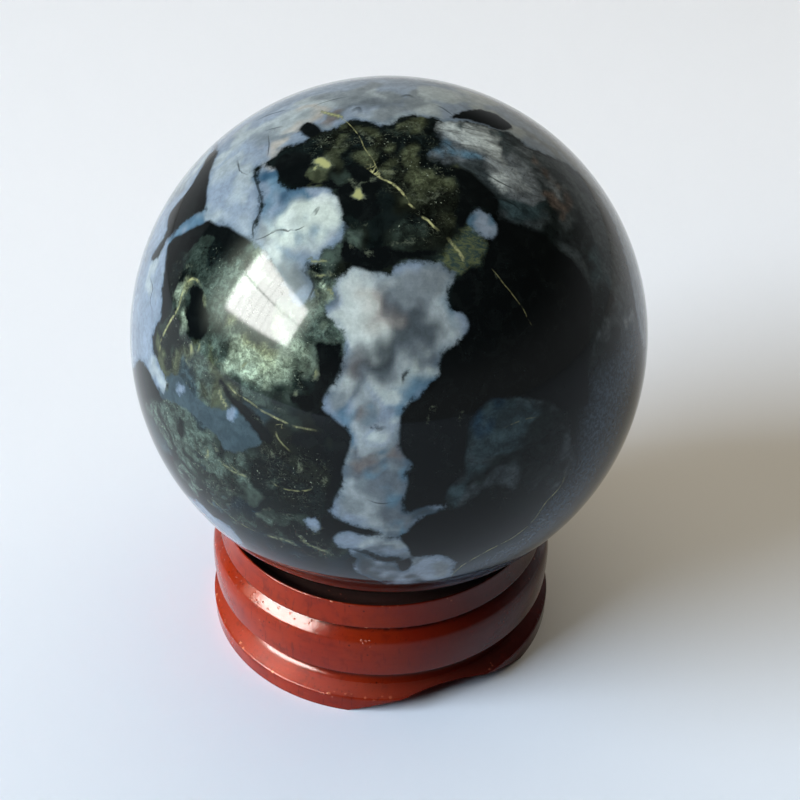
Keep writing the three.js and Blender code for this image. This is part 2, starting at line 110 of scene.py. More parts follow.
LIGHT_TONES = {
    "lavender": [(-99.5, 43, 2), (-85, 35.5, 2), (1, 21.5, 2), (-6, 18, 2), (-8, -11.5, 2), (6, -25, 3), (11, -21, 3), (-39, 54.5, 3), (-21.5, 47, 2), (-62, 51.5, 3.5), (-51.5, 50, 3.5), (-64.5, 48, 3), (-74.5, 59.5, 3.5), (-21.5, 84, 2.5), (-66.5, 22.5, 2.5), (-61.5, 16, 2.5), (-47, 12, 1), (-46, -28, 3), (-41, -37.5, 3)],
    "pearl": [(-94, 41, 2), (-105.5, 43, 2), (-10.5, 42.5, 3.5), (0.5, 42, 3), (-0.5, 44.5, 2.5), (14, 39, 2.5), (14.5, 34, 3), (11.5, 31.5, 2.5), (-8.5, 24, 2.5), (5, 26, 2), (-1, 20, 2.5), (-3, 17.5, 2), (-4.5, 10.5, 2), (-4, 1.5, 2.5), (-4.5, -2.5, 2.5), (-4, -11.5, 2.5), (3.5, -13.5, 2), (-18.5, 56.5, 2), (-32.5, 48.5, 2.5), (-26, 49, 3), (-18.5, 50, 2), (-55.5, 47.5, 3), (-60.5, 46.5, 2), (-64.5, 55, 3), (-82, 56, 3), (-85.5, 68, 3), (-91.5, 62.5, 3), (-103, 75, 3), (7.5, 84.5, 2), (59.5, 83.5, 2.5), (64.5, 80.5, 2), (103, 78, 3), (114, 69.5, 3), (93.5, 67.5, 2), (90, 63, 2.5), (-63.5, 44.5, 2), (-66.5, 27.5, 2), (-70, 30.5, 2), (-56, 12, 2)],
    "mist": [(-90.5, 38, 2), (4.5, 45, 3), (9, 40, 3), (13, 41.5, 3), (3, 29, 2.5), (0, 25.5, 2), (-11, 20, 2), (0, 17, 2), (1, 13, 2), (-6.5, 8, 2), (0, 3, 2), (-6.5, 1, 2), (-8, -1.5, 2), (-1.5, -2.5, 2.5), (0, -12.5, 2.5), (14, -25.5, 2.5), (-34, 54, 2), (-24, 43, 2), (-45.5, 47.5, 2.5), (-77, 64.5, 3), (-67, 68, 2), (-56.5, 76, 2), (-110, 81, 3), (106, 88.5, 3), (116.5, 83.5, 2.5), (88, 55.5, 2.5), (-84.5, 25, 2), (-14.5, -8.5, 1.5), (31, 55.5, 1.5)],
    "milk": [(-9, 40, 3.5), (-7, 43, 3.5), (-8, 36, 3.5), (-5.5, 33, 3.5), (-8, 31.5, 2.5), (-7, 23, 2), (2, 24.5, 2), (2.5, 23, 1.5), (9, 27.5, 2), (-9, 21.5, 2), (-23, 57.5, 2.5), (-30.5, 45.5, 2.5), (-27, 43, 2.5), (-53.5, 10.5, 1.5)],
    "beige": [(-3.5, 40.5, 3), (-4, 37, 3), (-84.5, 71, 2.5), (-60.5, 64, 2)],
    "dusk": [(3, 40.5, 3), (5.5, 38.5, 3), (5, 32, 3.5), (9.5, 29, 2), (15, 44.5, 2.5), (-7.5, 29, 2.5), (-3, 24.5, 2.5), (-6, 20.5, 2), (-4, 21.5, 2), (-2.5, 5.5, 2.5), (0.5, 7.5, 2), (2, -1, 2), (6, -3.5, 2), (0, -7, 2), (2, -16, 2), (-38.5, 48, 2), (-22, 40.5, 2), (-20, 39, 1.5), (-69.5, 83.5, 3), (87.5, 47, 2.5)],
    "rose": [(2, 37, 2.5), (-7, 26.5, 2.5), (-5, 25.5, 2), (-2.5, 12.5, 2.5), (-2, 10, 2), (-63.5, 79.5, 2.5)],
    "lead": [(7, 35.5, 3), (3, 34, 3.5), (2.5, 33, 2), (-0.5, 32, 2.5), (-0.5, 29, 2.5), (-3.5, 28, 3), (10, -2, 2), (-3, -20, 2.5), (0, -25, 3)],
    "azure": [(16.5, 35, 2), (8, 25.5, 2), (-8, 16.5, 1.5), (2.5, 15, 1.5), (3, 8, 2), (-34.5, 58.5, 1.5), (-34.5, 56.5, 2.5), (-40.5, 52, 2), (-67.5, 39.5, 2), (-65, 42, 2), (31, 51, 2)],
    "ivory": [(7, 27.5, 2), (-28, 55, 2.5), (-21, 54, 3), (-25, 52, 2.5), (-31.5, 51.5, 3), (-38, 50.5, 2.5)],
    "sky": [(5.5, 24, 2), (-5, 13.5, 2), (3.5, 4, 2), (3, -5, 2), (-48, 56.5, 2), (-46.5, 54.5, 2), (-16, 52.5, 2), (-25, 46.5, 2.5), (-69.5, 37.5, 1.5), (-32, 13.5, 1), (30.5, 53, 2)],
    "deep": [(4.5, 9, 1.5), (-55, 59, 2), (-48.5, 58.5, 1.5), (-41, 58, 2)],
}
DARK_TONES = {
    "ink": [(-51, 66.5, 3.5), (-4.5, 76.5, 2), (37, 77, 2), (6.5, 73.5, 3), (18.5, 71.5, 3), (-21.5, 68.5, 3), (-4, 62, 3), (2, 59, 3), (-6, 53.5, 3.5), (-3, 57, 3), (-26.5, -2.5, 3), (-22, 0.5, 2), (-12.5, -1, 2), (-16.5, -2, 2.5), (-13, -6.5, 2), (-17, -9, 2), (-10, 30.5, 2), (-10.5, 26.5, 2), (-13.5, 21.5, 2), (27.5, -2, 5), (32, 6.5, 5), (42.5, 6.5, 4), (41, -5.5, 3.5), (25.5, -18.5, 3)],
    "umber": [(-41, 69, 2.5), (-41, 76, 2), (-11, 71.5, 2), (-32, 73, 2), (-28, 65, 2), (-6.5, 65.5, 2.5), (-2.5, 68, 2), (4.5, 62.5, 2), (12, 61, 3), (22.5, 57.5, 2), (14.5, 57.5, 2.5), (18.5, 54, 3), (2, 51, 2.5), (11, 51.5, 2.5), (-13, 46.5, 2), (-13, 41.5, 2), (-17, 17, 2), (-14, 15.5, 2), (-18.5, 9.5, 2.5), (-22, 9.5, 2), (-16.5, 6.5, 2), (-12.5, 6, 2), (-17.5, 1.5, 2), (-14.5, 1, 2), (9, 19, 2), (14, 18, 2), (7.5, 11.5, 2)],
    "olive": [(-26.5, 75.5, 2), (-16, 74, 2), (20, 79, 2), (24, 77, 2), (-33.5, 66.5, 2), (-34, 64, 1.5), (2.5, 67, 2), (23.5, 66, 2), (25, 63.5, 2), (24, 60.5, 2), (19, 59.5, 2), (-53.5, 15.5, 2), (-48, 17, 2), (-39.5, 20.5, 2), (-37.5, 18.5, 2), (-35, 15, 2)],
    "moss": [(7, 78, 2), (-19.5, 63.5, 2), (-15, 61.5, 1.5), (6.5, 51.5, 3), (-56, 39, 2), (-55.5, 34.5, 2.5), (-50.5, 39, 2), (-49, 33, 2), (-54, 23, 1), (-54.5, 20.5, 1), (-43.5, 32.5, 3), (-40, 30, 3), (-42.5, 25, 2), (-18.5, 28.5, 3), (-15, 27, 2), (-20, 22.5, 2.5), (-24, 20.5, 2), (-22.5, 16.5, 2), (-35, -1, 2), (-37.5, -8, 2.5), (-26, 3.5, 2), (-22, -5, 2), (-20, -7, 2), (-32, -14.5, 2), (-20, -13.5, 2), (-16.5, -14, 2), (-14.5, -16, 2)],
    "straw": [(-12, 60.5, 2), (-51.5, 33, 1), (-53, 30, 1.5), (-26.5, 27.5, 3.5)],
    "jet": [(-13, 56.5, 3), (-14.5, 12.5, 2), (-10, 15, 2), (-8.5, 11, 2), (-9.5, 4.5, 2), (38, 35.5, 6), (26, 32.5, 5), (37, 44, 5), (20, 27.5, 5), (8.5, 15.5, 5), (13, 21, 5), (8.5, 5, 3), (39.5, 25, 5), (9, -8, 3.5), (19.5, -10.5, 3.5)],
    "pine": [(-13, 51, 2.5), (-16.5, 48.5, 2), (-19.5, 43, 1.5), (-60.5, 36, 2), (-51, 23.5, 2), (-46.5, 22, 2), (-50.5, 19, 2), (-15.5, 23, 2), (-20.5, 19.5, 2.5), (37, -12, 3.5), (49, 5.5, 3)],
    "fern": [(-17, 45.5, 2), (-15, 43, 2), (-16.5, 37, 2), (-14, 34.5, 2), (-15.5, 31.5, 2), (-45.5, 40, 2), (-42, 42.5, 2), (-46.5, 37, 3), (-39.5, 37, 3), (-44, 20, 2), (-41, 16, 2), (-36.5, 25, 2.5), (-30, 21, 2), (-22.5, 24, 2), (-19.5, 33, 3), (-26.5, 18, 2), (-52, 7, 2), (-57, -1, 2), (-59, 3, 2), (-48, 4.5, 2.5), (-43, 4.5, 2.5), (-38.5, 4.5, 2), (-45.5, -3, 2.5), (-41, -4.5, 2.5), (-31, 0.5, 2), (-46.5, -12.5, 2), (-31.5, -3.5, 2), (-24, -10, 2)],
    "sage": [(-16, 40, 2), (-53, 28, 2), (-53, 25.5, 2), (-37, 41, 2.5), (-33, 23.5, 2), (-29.5, 25, 2.5), (-26, 24.5, 2.5), (-27, 26.5, 2.5), (-21.5, 28.5, 3.5), (-24, 26, 2.5)],
    "slate": [(-47.5, 14.5, 1.5), (-48.5, 11, 2), (-43.5, 11.5, 2), (-39, 11, 2), (-33.5, 12, 2), (-30, 11.5, 2), (-26.5, 10.5, 2), (-33.5, 7, 2), (-27.5, 8, 2), (-54.5, -7.5, 2), (-37, -12.5, 2), (-34.5, -21.5, 2)],
    "night": [(-29, -8, 2.5), (-27.5, -21, 2), (-11.5, -18, 2), (-22, -24.5, 2), (-10, -24, 2)],
}
SMOKE_TONES = {
    "night": [(84.5, 72, 3)],
    "slate": [(86.5, 68.5, 2.5), (79.5, 75, 2.5), (42, 55, 2), (43, 52, 2), (49.5, 53, 2.5), (62.5, 34.5, 2), (18.5, 11, 2), (22, 17, 2.5), (26.5, 17.5, 2), (23, 13.5, 2.5), (30, 16.5, 2), (27.5, 12, 2.5), (25, 10, 2), (17.5, 6, 2), (14.5, 3, 2), (13.5, 0.5, 2)],
    "lavender": [(-99.5, 43, 2), (-87.5, 38.5, 2), (-83, 36, 2)],
    "pearl": [(-94.5, 42.5, 2), (-99.5, 46.5, 1.5), (48.5, 75.5, 2), (56.5, 73.5, 3), (61, 69.5, 3), (70, 66.5, 2.5), (48, 63, 2)],
    "mist": [(-91.5, 40, 2), (44.5, 67.5, 2.5), (57, 64.5, 2.5), (58.5, 61.5, 2), (66, 17.5, 2)],
    "dusk": [(-81, 43.5, 1), (39, 69.5, 2.5), (69.5, 62.5, 2), (67.5, 58.5, 2.5), (52, 57.5, 2), (58, 55.5, 2)],
    "lead": [(46, 59, 2), (69, 55, 2.5), (71, 51.5, 2.5), (67, 47.5, 2), (78.5, 43.5, 2), (70.5, 27, 2)],
    "clay": [(62.5, 51.5, 2)],
    "pine": [(54, 49.5, 3), (66, 44, 2.5), (62, 38, 2), (49, 23.5, 2), (50, 16.5, 3), (54.5, 19, 2.5), (77, 36, 2), (33.5, 15, 2), (33, 12.5, 2.5), (37, 11, 2), (23, 4.5, 2.5), (18.5, 3, 2)],
    "ink": [(54.5, 44.5, 3), (53.5, 33.5, 2.5), (58.5, 28, 2.5), (54, 25.5, 3), (32, 6.5, 3), (27, 4.5, 3.5), (37, 4, 2.5), (33.5, -2, 3)],
    "azure": [(29.5, 70.5, 1.5), (28.5, 71.5, 1)],
    "navy": [(18, 17.5, 2), (18.5, 14.5, 2)],
}
VEINS = [
    ([(-13, 67.5), (-8.5, 66.5), (-4, 65), (0.5, 64), (4, 62.5), (6, 61), (7, 59.5), (9, 58), (10.5, 56.5), (13, 55.5), (14.5, 54), (16, 53)], 0.10, 1.00),
    ([(-60, 78), (-41, 77.5), (-24, 75), (-16, 72), (-9.5, 69.5), (-6, 67), (-3, 65)], 0.05, 0.50),
    ([(18, 51.5), (19.5, 49.5), (20.5, 48), (21, 46.5), (21, 44.5)], 0.14, 0.70),
    ([(28, 44), (29, 42.5), (30, 40.5), (31, 39), (32, 37), (33, 35), (33.5, 33), (34, 31.5)], 0.05, 0.35),
    ([(-49, 33.5), (-52, 34), (-54, 33), (-54.5, 30.5), (-54, 28), (-54, 26), (-55, 23.5), (-56, 20.5), (-56.5, 18), (-56, 15.5)], 0.12, 0.80),
    ([(-34.5, 19), (-31.5, 17.5), (-28.5, 17), (-25.5, 16), (-23, 15.5), (-20.5, 15), (-18.5, 14.5), (-16, 14.5), (-13, 14.5)], 0.09, 0.70),
    ([(-22, 13.5), (-21.5, 11.5), (-20, 10), (-18.5, 9)], 0.08, 0.50),
    ([(-22.5, 1), (-21, 0), (-18.5, 0), (-16, 0.5), (-14, 1.5)], 0.08, 0.50),
    ([(-32.5, 1.5), (-30.5, 0.5), (-28, 0)], 0.09, 0.40),
    ([(-40.5, -11.5), (-37.5, -13), (-34.5, -15), (-31, -16), (-27, -16.5)], 0.06, 0.45),
    ([(39, -2), (38.5, -5), (37, -7), (35, -8.5), (33.5, -11.5), (32, -14), (28.5, -17), (22.5, -19.5), (17.5, -24), (16, -29.5)], 0.09, 0.45),
    ([(23.5, 13.5), (26.5, 14), (29.5, 14), (32, 13.5)], 0.06, 0.35),
]
WISPS = [
    ([(-38.5, 65.5), (-36, 66.5), (-31.5, 66), (-28.5, 66)], 0.25, 0.80),
    ([(-35.5, 63.5), (-35.5, 64.5), (-35.5, 65.5)], 0.14, 0.60),
    ([(-14.5, 60.5), (-12, 60.5), (-9.5, 60.5)], 0.14, 0.90),
    ([(-13, 62.5), (-12, 61), (-10, 59.5)], 0.12, 0.90),
    ([(-19, 64.5), (-16, 63.5), (-13.5, 62.5), (-12, 62)], 0.18, 0.35),
    ([(-13.5, 63), (-10, 64), (-6.5, 65), (-3.5, 65.5)], 0.08, 0.35),
    ([(-40, 71), (-34, 71), (-29.5, 71.5), (-26, 73)], 0.14, 0.30),
    ([(-7, 67.5), (-2.5, 66.5), (1, 66.5), (6, 66.5)], 0.17, 0.45),
    ([(6, 62.5), (9, 61.5), (11.5, 60), (13.5, 59)], 0.12, 0.35),
    ([(13, 59.5), (16, 60), (19, 60.5), (21.5, 61.5)], 0.12, 0.35),
    ([(-1, 51), (2.5, 51), (6, 51.5), (9.5, 51.5), (12.5, 52)], 0.17, 0.30),
    ([(-7.5, 50), (-5.5, 49), (-3.5, 49)], 0.12, 0.35),
    ([(-12.5, 51), (-10.5, 50), (-8.5, 49)], 0.09, 0.25),
    ([(-9.5, 55), (-7, 54.5), (-5.5, 55)], 0.09, 0.25),
    ([(21.5, 67.5), (24, 66), (25, 64), (25, 61.5)], 0.11, 0.35),
    ([(-35.5, 77), (-24.5, 76.5), (-15, 74.5), (-10.5, 72.5)], 0.17, 0.35),
    ([(14.5, 80), (25, 80), (28, 78.5), (26, 76)], 0.14, 0.35),
    ([(-83.5, 75), (-73, 76.5), (-61, 78), (-52, 78)], 0.18, 0.60),
    ([(-59.5, 34.5), (-56.5, 35), (-55, 36.5)], 0.08, 0.40),
    ([(-46.5, 35), (-43, 34.5), (-41, 32.5)], 0.09, 0.30),
    ([(-47, 23), (-45.5, 21.5), (-45.5, 19.5)], 0.12, 0.55),
    ([(-45, 24), (-43.5, 23), (-44, 21)], 0.09, 0.50),
    ([(-47, 20.5), (-46, 18.5), (-44, 18)], 0.08, 0.40),
    ([(-39.5, 23.5), (-37.5, 22), (-35, 21)], 0.12, 0.40),
    ([(-32.5, 21.5), (-31, 23.5), (-29.5, 25)], 0.11, 0.45),
    ([(-35.5, 18), (-35.5, 16), (-34, 14.5), (-33, 14)], 0.15, 0.55),
    ([(-39.5, 17), (-37.5, 15.5), (-36, 14.5)], 0.12, 0.40),
    ([(-22, 25), (-20.5, 25.5), (-18.5, 25)], 0.09, 0.30),
    ([(-15, 27), (-14.5, 25.5), (-15, 24)], 0.14, 0.50),
    ([(-19.5, 21), (-18.5, 21), (-17.5, 21.5)], 0.10, 0.45),
    ([(-23.5, 17.5), (-21.5, 17), (-19, 17)], 0.08, 0.30),
    ([(-29, 14.5), (-26.5, 14), (-23.5, 13.5)], 0.08, 0.30),
    ([(-23, 9), (-22.5, 7.5), (-23, 6)], 0.08, 0.35),
    ([(-17, 7.5), (-16.5, 6), (-17, 4)], 0.09, 0.45),
    ([(-12, 5.5), (-11.5, 4), (-12, 2)], 0.09, 0.45),
    ([(-36, 1.5), (-34.5, 1), (-33, 0.5), (-31.5, 0), (-29.5, 0), (-27.5, 0)], 0.08, 0.45),
    ([(-39, 3.5), (-38, 1.5), (-39.5, -1)], 0.09, 0.50),
    ([(-37, 5), (-35.5, 4), (-36, 2)], 0.08, 0.40),
    ([(-28.5, -12), (-26.5, -9), (-24.5, -7), (-22.5, -6.5)], 0.11, 0.30),
    ([(-21.5, -8), (-19.5, -6.5), (-18, -8)], 0.11, 0.30),
    ([(-18.5, -11.5), (-17, -14), (-15.5, -15.5), (-13, -16.5), (-11, -18)], 0.09, 0.45),
    ([(-27, -16.5), (-24, -16), (-20.5, -16), (-18, -17)], 0.07, 0.45),
    ([(-34.5, -5), (-32.5, -6), (-30.5, -6.5)], 0.07, 0.30),
    ([(-41.5, -12), (-40.5, -14), (-38.5, -14)], 0.07, 0.40),
    ([(-15.5, -12), (-13.5, -10), (-12, -8)], 0.08, 0.35),
    ([(-23, 46.5), (-20, 46), (-18, 46.5), (-15.5, 46)], 0.14, 0.50),
    ([(-20, 44), (-17.5, 43.5), (-15.5, 44.5)], 0.14, 0.50),
    ([(-16.5, 42), (-14, 41), (-13, 39.5)], 0.15, 0.50),
    ([(-16.5, 45), (-14.5, 44), (-13, 42.5)], 0.09, 0.45),
    ([(-20, 41.5), (-17.5, 40.5), (-16, 39)], 0.11, 0.40),
    ([(9, 20.5), (9.5, 19.5), (9.5, 18.5)], 0.08, 0.35),
    ([(15, 19), (15, 17.5), (14.5, 16)], 0.08, 0.30),
    ([(8.5, 19), (8.5, 17.5), (8.5, 17)], 0.09, 0.30),
    ([(14, 16.5), (14.5, 16), (15, 16)], 0.08, 0.25),
    ([(28, 43.5), (28.5, 42.5), (27.5, 41.5)], 0.09, 0.25),
]
CRACKS = [
    ([(-48, 55), (-45, 53), (-44, 51.5), (-43.5, 49), (-42, 47.5), (-40.5, 46.5)], 0.08),
    ([(-41, 46), (-38, 47.5), (-36, 49), (-34, 50), (-30.5, 50.5), (-28, 51.5), (-26.5, 52.5)], 0.06),
    ([(-24.5, 57), (-24.5, 55.5), (-25.5, 54.5)], 0.05),
    ([(-22, 45), (-20, 43), (-18.5, 41.5), (-19, 39.5), (-19.5, 37.5)], 0.10),
    ([(80.5, 64), (76.5, 61.5), (81, 56.5), (85, 51), (86.5, 44.5), (84.5, 40)], 0.08),
    ([(-74, 56), (-68.5, 55.5), (-64.5, 56)], 0.05),
    ([(3.5, 24.5), (3.5, 26), (4.5, 27)], 0.11),
    ([(0, 21.5), (0.5, 21.5)], 0.11),
    ([(69.5, 73), (78, 67), (80, 62.5)], 0.07),
    ([(43, 63), (45.5, 60.5), (48.5, 58), (50.5, 56.5)], 0.09),
    ([(38, -5.5), (38, -3.5), (37.5, -1)], 0.05),
    ([(-75.5, 27), (-75.5, 30), (-74.5, 33), (-75, 35.5)], 0.12),
    ([(-62.5, 58.5), (-57.5, 57), (-51.5, 55.5), (-46.5, 54), (-44, 51.5)], 0.12),
    ([(-36, 49.5), (-32.5, 50.5), (-29, 51)], 0.09),
    ([(-26, 55), (-25.5, 56), (-24.5, 57)], 0.11),
    ([(-75.5, 56.5), (-70, 56), (-66, 55.5), (-60, 56.5)], 0.05),
    ([(-79.5, 64), (-71, 63.5), (-65.5, 62.5), (-62, 61.5)], 0.05),
    ([(-83, 63.5), (-81.5, 65.5), (-78.5, 67.5)], 0.07),
    ([(-100, 60), (-101, 62.5), (-100, 65.5), (-98.5, 68.5)], 0.08),
    ([(-57.5, 80.5), (-62.5, 82.5), (-44.5, 81.5)], 0.20),
    ([(106, 88.5), (126, 86), (102, 85.5)], 0.18),
    ([(85, 81.5), (79, 79.5), (74, 78), (69, 76)], 0.06),
    ([(-91, 73.5), (-95.5, 75.5), (-100.5, 78.5), (-107, 81.5)], 0.06),
    ([(-23.5, 44), (-21.5, 43.5), (-20, 42.5)], 0.11),
    ([(-38, 45), (-35.5, 44), (-33, 43), (-29.5, 42.5)], 0.09),
    ([(-2, 15.5), (-1, 16), (0, 16.5)], 0.15),
    ([(-3.5, 0.5), (-1, -0.5), (2, 0)], 0.07),
    ([(-6.5, -14), (-4, -14.5), (-1, -16.5), (1.5, -18.5)], 0.14),
    ([(55.5, 75.5), (63.5, 72.5), (70, 68.5)], 0.07),
    ([(38.5, 57.5), (42.5, 56), (45.5, 54), (46.5, 52)], 0.09),
    ([(35.5, 73), (38.5, 71), (38.5, 69)], 0.08),
    ([(-72.5, 25.5), (-67.5, 25), (-66.5, 22.5), (-63.5, 21.5)], 0.06),
    ([(-99.5, 43), (-94.5, 42.5), (-91.5, 40), (-87.5, 38.5)], 0.17),
    ([(-100, 40), (-95.5, 38.5), (-92, 36.5), (-89.5, 34.5)], 0.12),
    ([(-103, 45), (-97.5, 44.5), (-94.5, 43.5)], 0.11),
    ([(-8, -14), (-5.5, -15), (-3, -16), (0, -17.5), (1.5, -18)], 0.11),
]

# --------------------------------------------------------------------- camera

PITCH, ROLL = 0.62901, -0.01589          # radians, downwards and about the view line
FOCAL = 1400.0 / 800.0                   # focal length over picture width
OFF_U, OFF_V = -10.748 / 1400.0, -63.074 / 1400.0
DIST = 5.4963                            # depth of the ball's centre in ball radii


def make_camera():
    fwd = np.array([0.0, math.cos(PITCH), -math.sin(PITCH)])
    right = np.array([1.0, 0.0, 0.0])
    down = np.cross(fwd, right)
    c, s = math.cos(ROLL), math.sin(ROLL)
    r2, d2 = c * right + s * down, -s * right + c * down
    rows = np.array([r2, d2, fwd])
    centre_in_camera = DIST * np.array([OFF_U, OFF_V, 1.0])
    place = -rows.T @ centre_in_camera
    cam = bpy.data.objects.new("camera", bpy.data.cameras.new("camera"))
    bpy.context.scene.collection.objects.link(cam)
    m = Matrix.Identity(4)
    for i in range(3):
        m[i][0], m[i][1], m[i][2] = r2[i], -d2[i], -fwd[i]
        m[i][3] = place[i] * BALL_R + BALL_C[i]
    cam.matrix_world = m
    cam.data.sensor_width = 36.0
    cam.data.lens = 36.0 * FOCAL
    cam.data.clip_start = 0.005
    cam.data.dof.use_dof = False
    bpy.context.scene.camera = cam
    return place / np.linalg.norm(place)


VIEW_DIR = make_camera()                 # from the ball's centre towards the camera

# ---------------------------------------------------------------- node helper


class Tree:
    """Builds a material's nodes from short calls."""

    def __init__(self, name):
        self.mat = bpy.data.materials.new(name)
        self.mat.use_nodes = True
        self.t = self.mat.node_tree
        self.t.nodes.clear()
        self.out = self.t.nodes.new("ShaderNodeOutputMaterial")
        self.x = 0

    def new(self, kind):
        n = self.t.nodes.new(kind)
        self.x += 40
        n.location = (self.x, -self.x * 0.3)
        return n

    def put(self, socket, value):
        if isinstance(value, bpy.types.NodeSocket):
            self.t.links.new(value, socket)
        elif isinstance(value, (tuple, list)) and len(value) == 3 and socket.type == "RGBA":
            socket.default_value = (*value, 1.0)
        else:
            socket.default_value = value

    def attr(self, name, out="Fac"):
        n = self.new("ShaderNodeAttribute")
        n.attribute_name = name
        return n.outputs[out]

    def gain(self, colour, factor):
        """Colour times a number."""
        n = self.new("ShaderNodeVectorMath")
        n.operation = "SCALE"
        self.put(n.inputs[0], colour)
        self.put(n.inputs["Scale"], factor)
        return n.outputs[0]

    def coords(self):
        return self.new("ShaderNodeTexCoord").outputs["Object"]

    def vmul(self, v, xyz):
        n = self.new("ShaderNodeVectorMath")
        n.operation = "MULTIPLY"
        self.put(n.inputs[0], v)
        n.inputs[1].default_value = xyz
        return n.outputs[0]

    def vadd(self, a, b):
        n = self.new("ShaderNodeVectorMath")
        n.operation = "ADD"
        self.put(n.inputs[0], a)
        self.put(n.inputs[1], b)
        return n.outputs[0]

    def vscale(self, v, k):
        n = self.new("ShaderNodeVectorMath")
        n.operation = "SCALE"
        self.put(n.inputs[0], v)
        self.put(n.inputs["Scale"], k)
        return n.outputs[0]

    def turned(self, v, euler, scale):
        n = self.new("ShaderNodeMapping")
        n.vector_type = "POINT"
        self.put(n.inputs["Vector"], v)
        n.inputs["Rotation"].default_value = euler
        n.inputs["Scale"].default_value = scale
        return n.outputs[0]

    def noise(self, v, wavelength, detail=3.0, rough=0.5, distort=0.0, colour=False, off=0.0):
        """Noise with features about wavelength millimetres long."""
        n = self.new("ShaderNodeTexNoise")
        if off:
            v = self.vadd(v, (off, off * 1.7, -off * 0.6))
        self.put(n.inputs["Vector"], v)
        n.inputs["Scale"].default_value = 1.0 / wavelength
        n.inputs["Detail"].default_value = detail
        n.inputs["Roughness"].default_value = rough
        n.inputs["Distortion"].default_value = distort
        return n.outputs["Color" if colour else "Fac"]

    def cells(self, v, wavelength, feature="F1", rand=1.0, out="Distance"):
        n = self.new("ShaderNodeTexVoronoi")
        n.feature = feature
        self.put(n.inputs["Vector"], v)
        n.inputs["Scale"].default_value = 1.0 / wavelength
        n.inputs["Randomness"].default_value = rand
        return n.outputs[out]

    def math(self, op, a, b=0.0, c=0.0, clamp=False):
        n = self.new("ShaderNodeMath")
        n.operation = op
        n.use_clamp = clamp
        self.put(n.inputs[0], a)
        self.put(n.inputs[1], b)
        if len(n.inputs) > 2:
            self.put(n.inputs[2], c)
        return n.outputs[0]

    def add(self, *a):
        r = a[0]
        for b in a[1:]:
            r = self.math("ADD", r, b)
        return r

    def mul(self, *a):
        r = a[0]
        for b in a[1:]:
            r = self.math("MULTIPLY", r, b)
        return r

    def sub(self, a, b):
        return self.math("SUBTRACT", a, b)

    def clamp(self, a):
        return self.math("ADD", a, 0.0, clamp=True)

    def step(self, v, lo, hi, a=0.0, b=1.0):
        """Smooth step from a at lo to b at hi."""
        n = self.new("ShaderNodeMapRange")
        n.interpolation_type = "SMOOTHSTEP"
        self.put(n.inputs["Value"], v)
        self.put(n.inputs["From Min"], lo)
        self.put(n.inputs["From Max"], hi)
        self.put(n.inputs["To Min"], a)
        self.put(n.inputs["To Max"], b)
        return n.outputs["Result"]

    def ramp(self, v, lo, hi, a=0.0, b=1.0):
        n = self.new("ShaderNodeMapRange")
        self.put(n.inputs["Value"], v)
        self.put(n.inputs["From Min"], lo)
        self.put(n.inputs["From Max"], hi)
        self.put(n.inputs["To Min"], a)
        self.put(n.inputs["To Max"], b)
        return n.outputs["Result"]

    def mix(self, f, a, b, mode="MIX"):
        n = self.new("ShaderNodeMix")
        n.data_type = "RGBA"
        n.blend_type = mode
        n.clamp_factor = True
        self.put(n.inputs["Factor"], f)
        self.put([i for i in n.inputs if i.name == "A" and i.type == "RGBA"][0], a)
        self.put([i for i in n.inputs if i.name == "B" and i.type == "RGBA"][0], b)
        return [o for o in n.outputs if o.type == "RGBA"][0]

    def bump(self, height, strength, distance):
        n = self.new("ShaderNodeBump")
        n.inputs["Strength"].default_value = strength
        n.inputs["Distance"].default_value = distance
        self.put(n.inputs["Height"], height)
        return n.outputs["Normal"]

    def shader(self, **values):
        n = self.new("ShaderNodeBsdfPrincipled")
        for k, v in values.items():
            self.put(n.inputs[k.replace("_", " ")], v)
        self.t.links.new(n.outputs[0], self.out.inputs["Surface"])
        return n


def srgb(r, g, b):
    """Linear colour from 0-255 display values."""
    def one(c):
        c /= 255.0
        return c / 12.92 if c <= 0.04045 else ((c + 0.055) / 1.055) ** 2.4
    return (one(r), one(g), one(b))


# ------------------------------------------------------- markings on the ball


def direction(lon, lat):
    a, b = math.radians(lon), math.radians(lat)
    return np.array([math.sin(a) * math.cos(b), -math.cos(a) * math.cos(b), math.sin(b)])


def rounded(points, closed, steps):
    """A smooth curve on the unit ball through outline points."""
    p = np.array([direction(*q) for q in points])
    n = len(p)
    out = []
    last = n if closed else n - 1
    for i in range(last):
        if closed:
            a, b, c, d = p[(i - 1) % n], p[i], p[(i + 1) % n], p[(i + 2) % n]
        else:
            a, b, c, d = p[max(i - 1, 0)], p[i], p[i + 1], p[min(i + 2, n - 1)]
        for k in range(steps):
            t = k / steps
            q = 0.5 * (2 * b + (c - a) * t + (2 * a - 5 * b + 4 * c - d) * t * t + (3 * b - a - 3 * c + d) * t ** 3)
            out.append(q / np.linalg.norm(q))
    if not closed:
        out.append(p[-1])
    return np.array(out)


def tangent_frame(centre):
    z = np.array([0.0, 0.0, 1.0]) if abs(centre[2]) < 0.9 else np.array([1.0, 0.0, 0.0])
    e1 = np.cross(z, centre)
    e1 /= np.linalg.norm(e1)
    return e1, np.cross(centre, e1)


def flat_about(points, centre):
    """Points of the unit ball laid flat around centre, true to distance from it."""
    e1, e2 = tangent_frame(centre)
    x, y, z = points @ e1, points @ e2, np.clip(points @ centre, -1, 1)
    ang = np.arccos(z)
    s = np.maximum(np.hypot(x, y), 1e-9)
    return np.stack([x / s * ang, y / s * ang], 1), ang


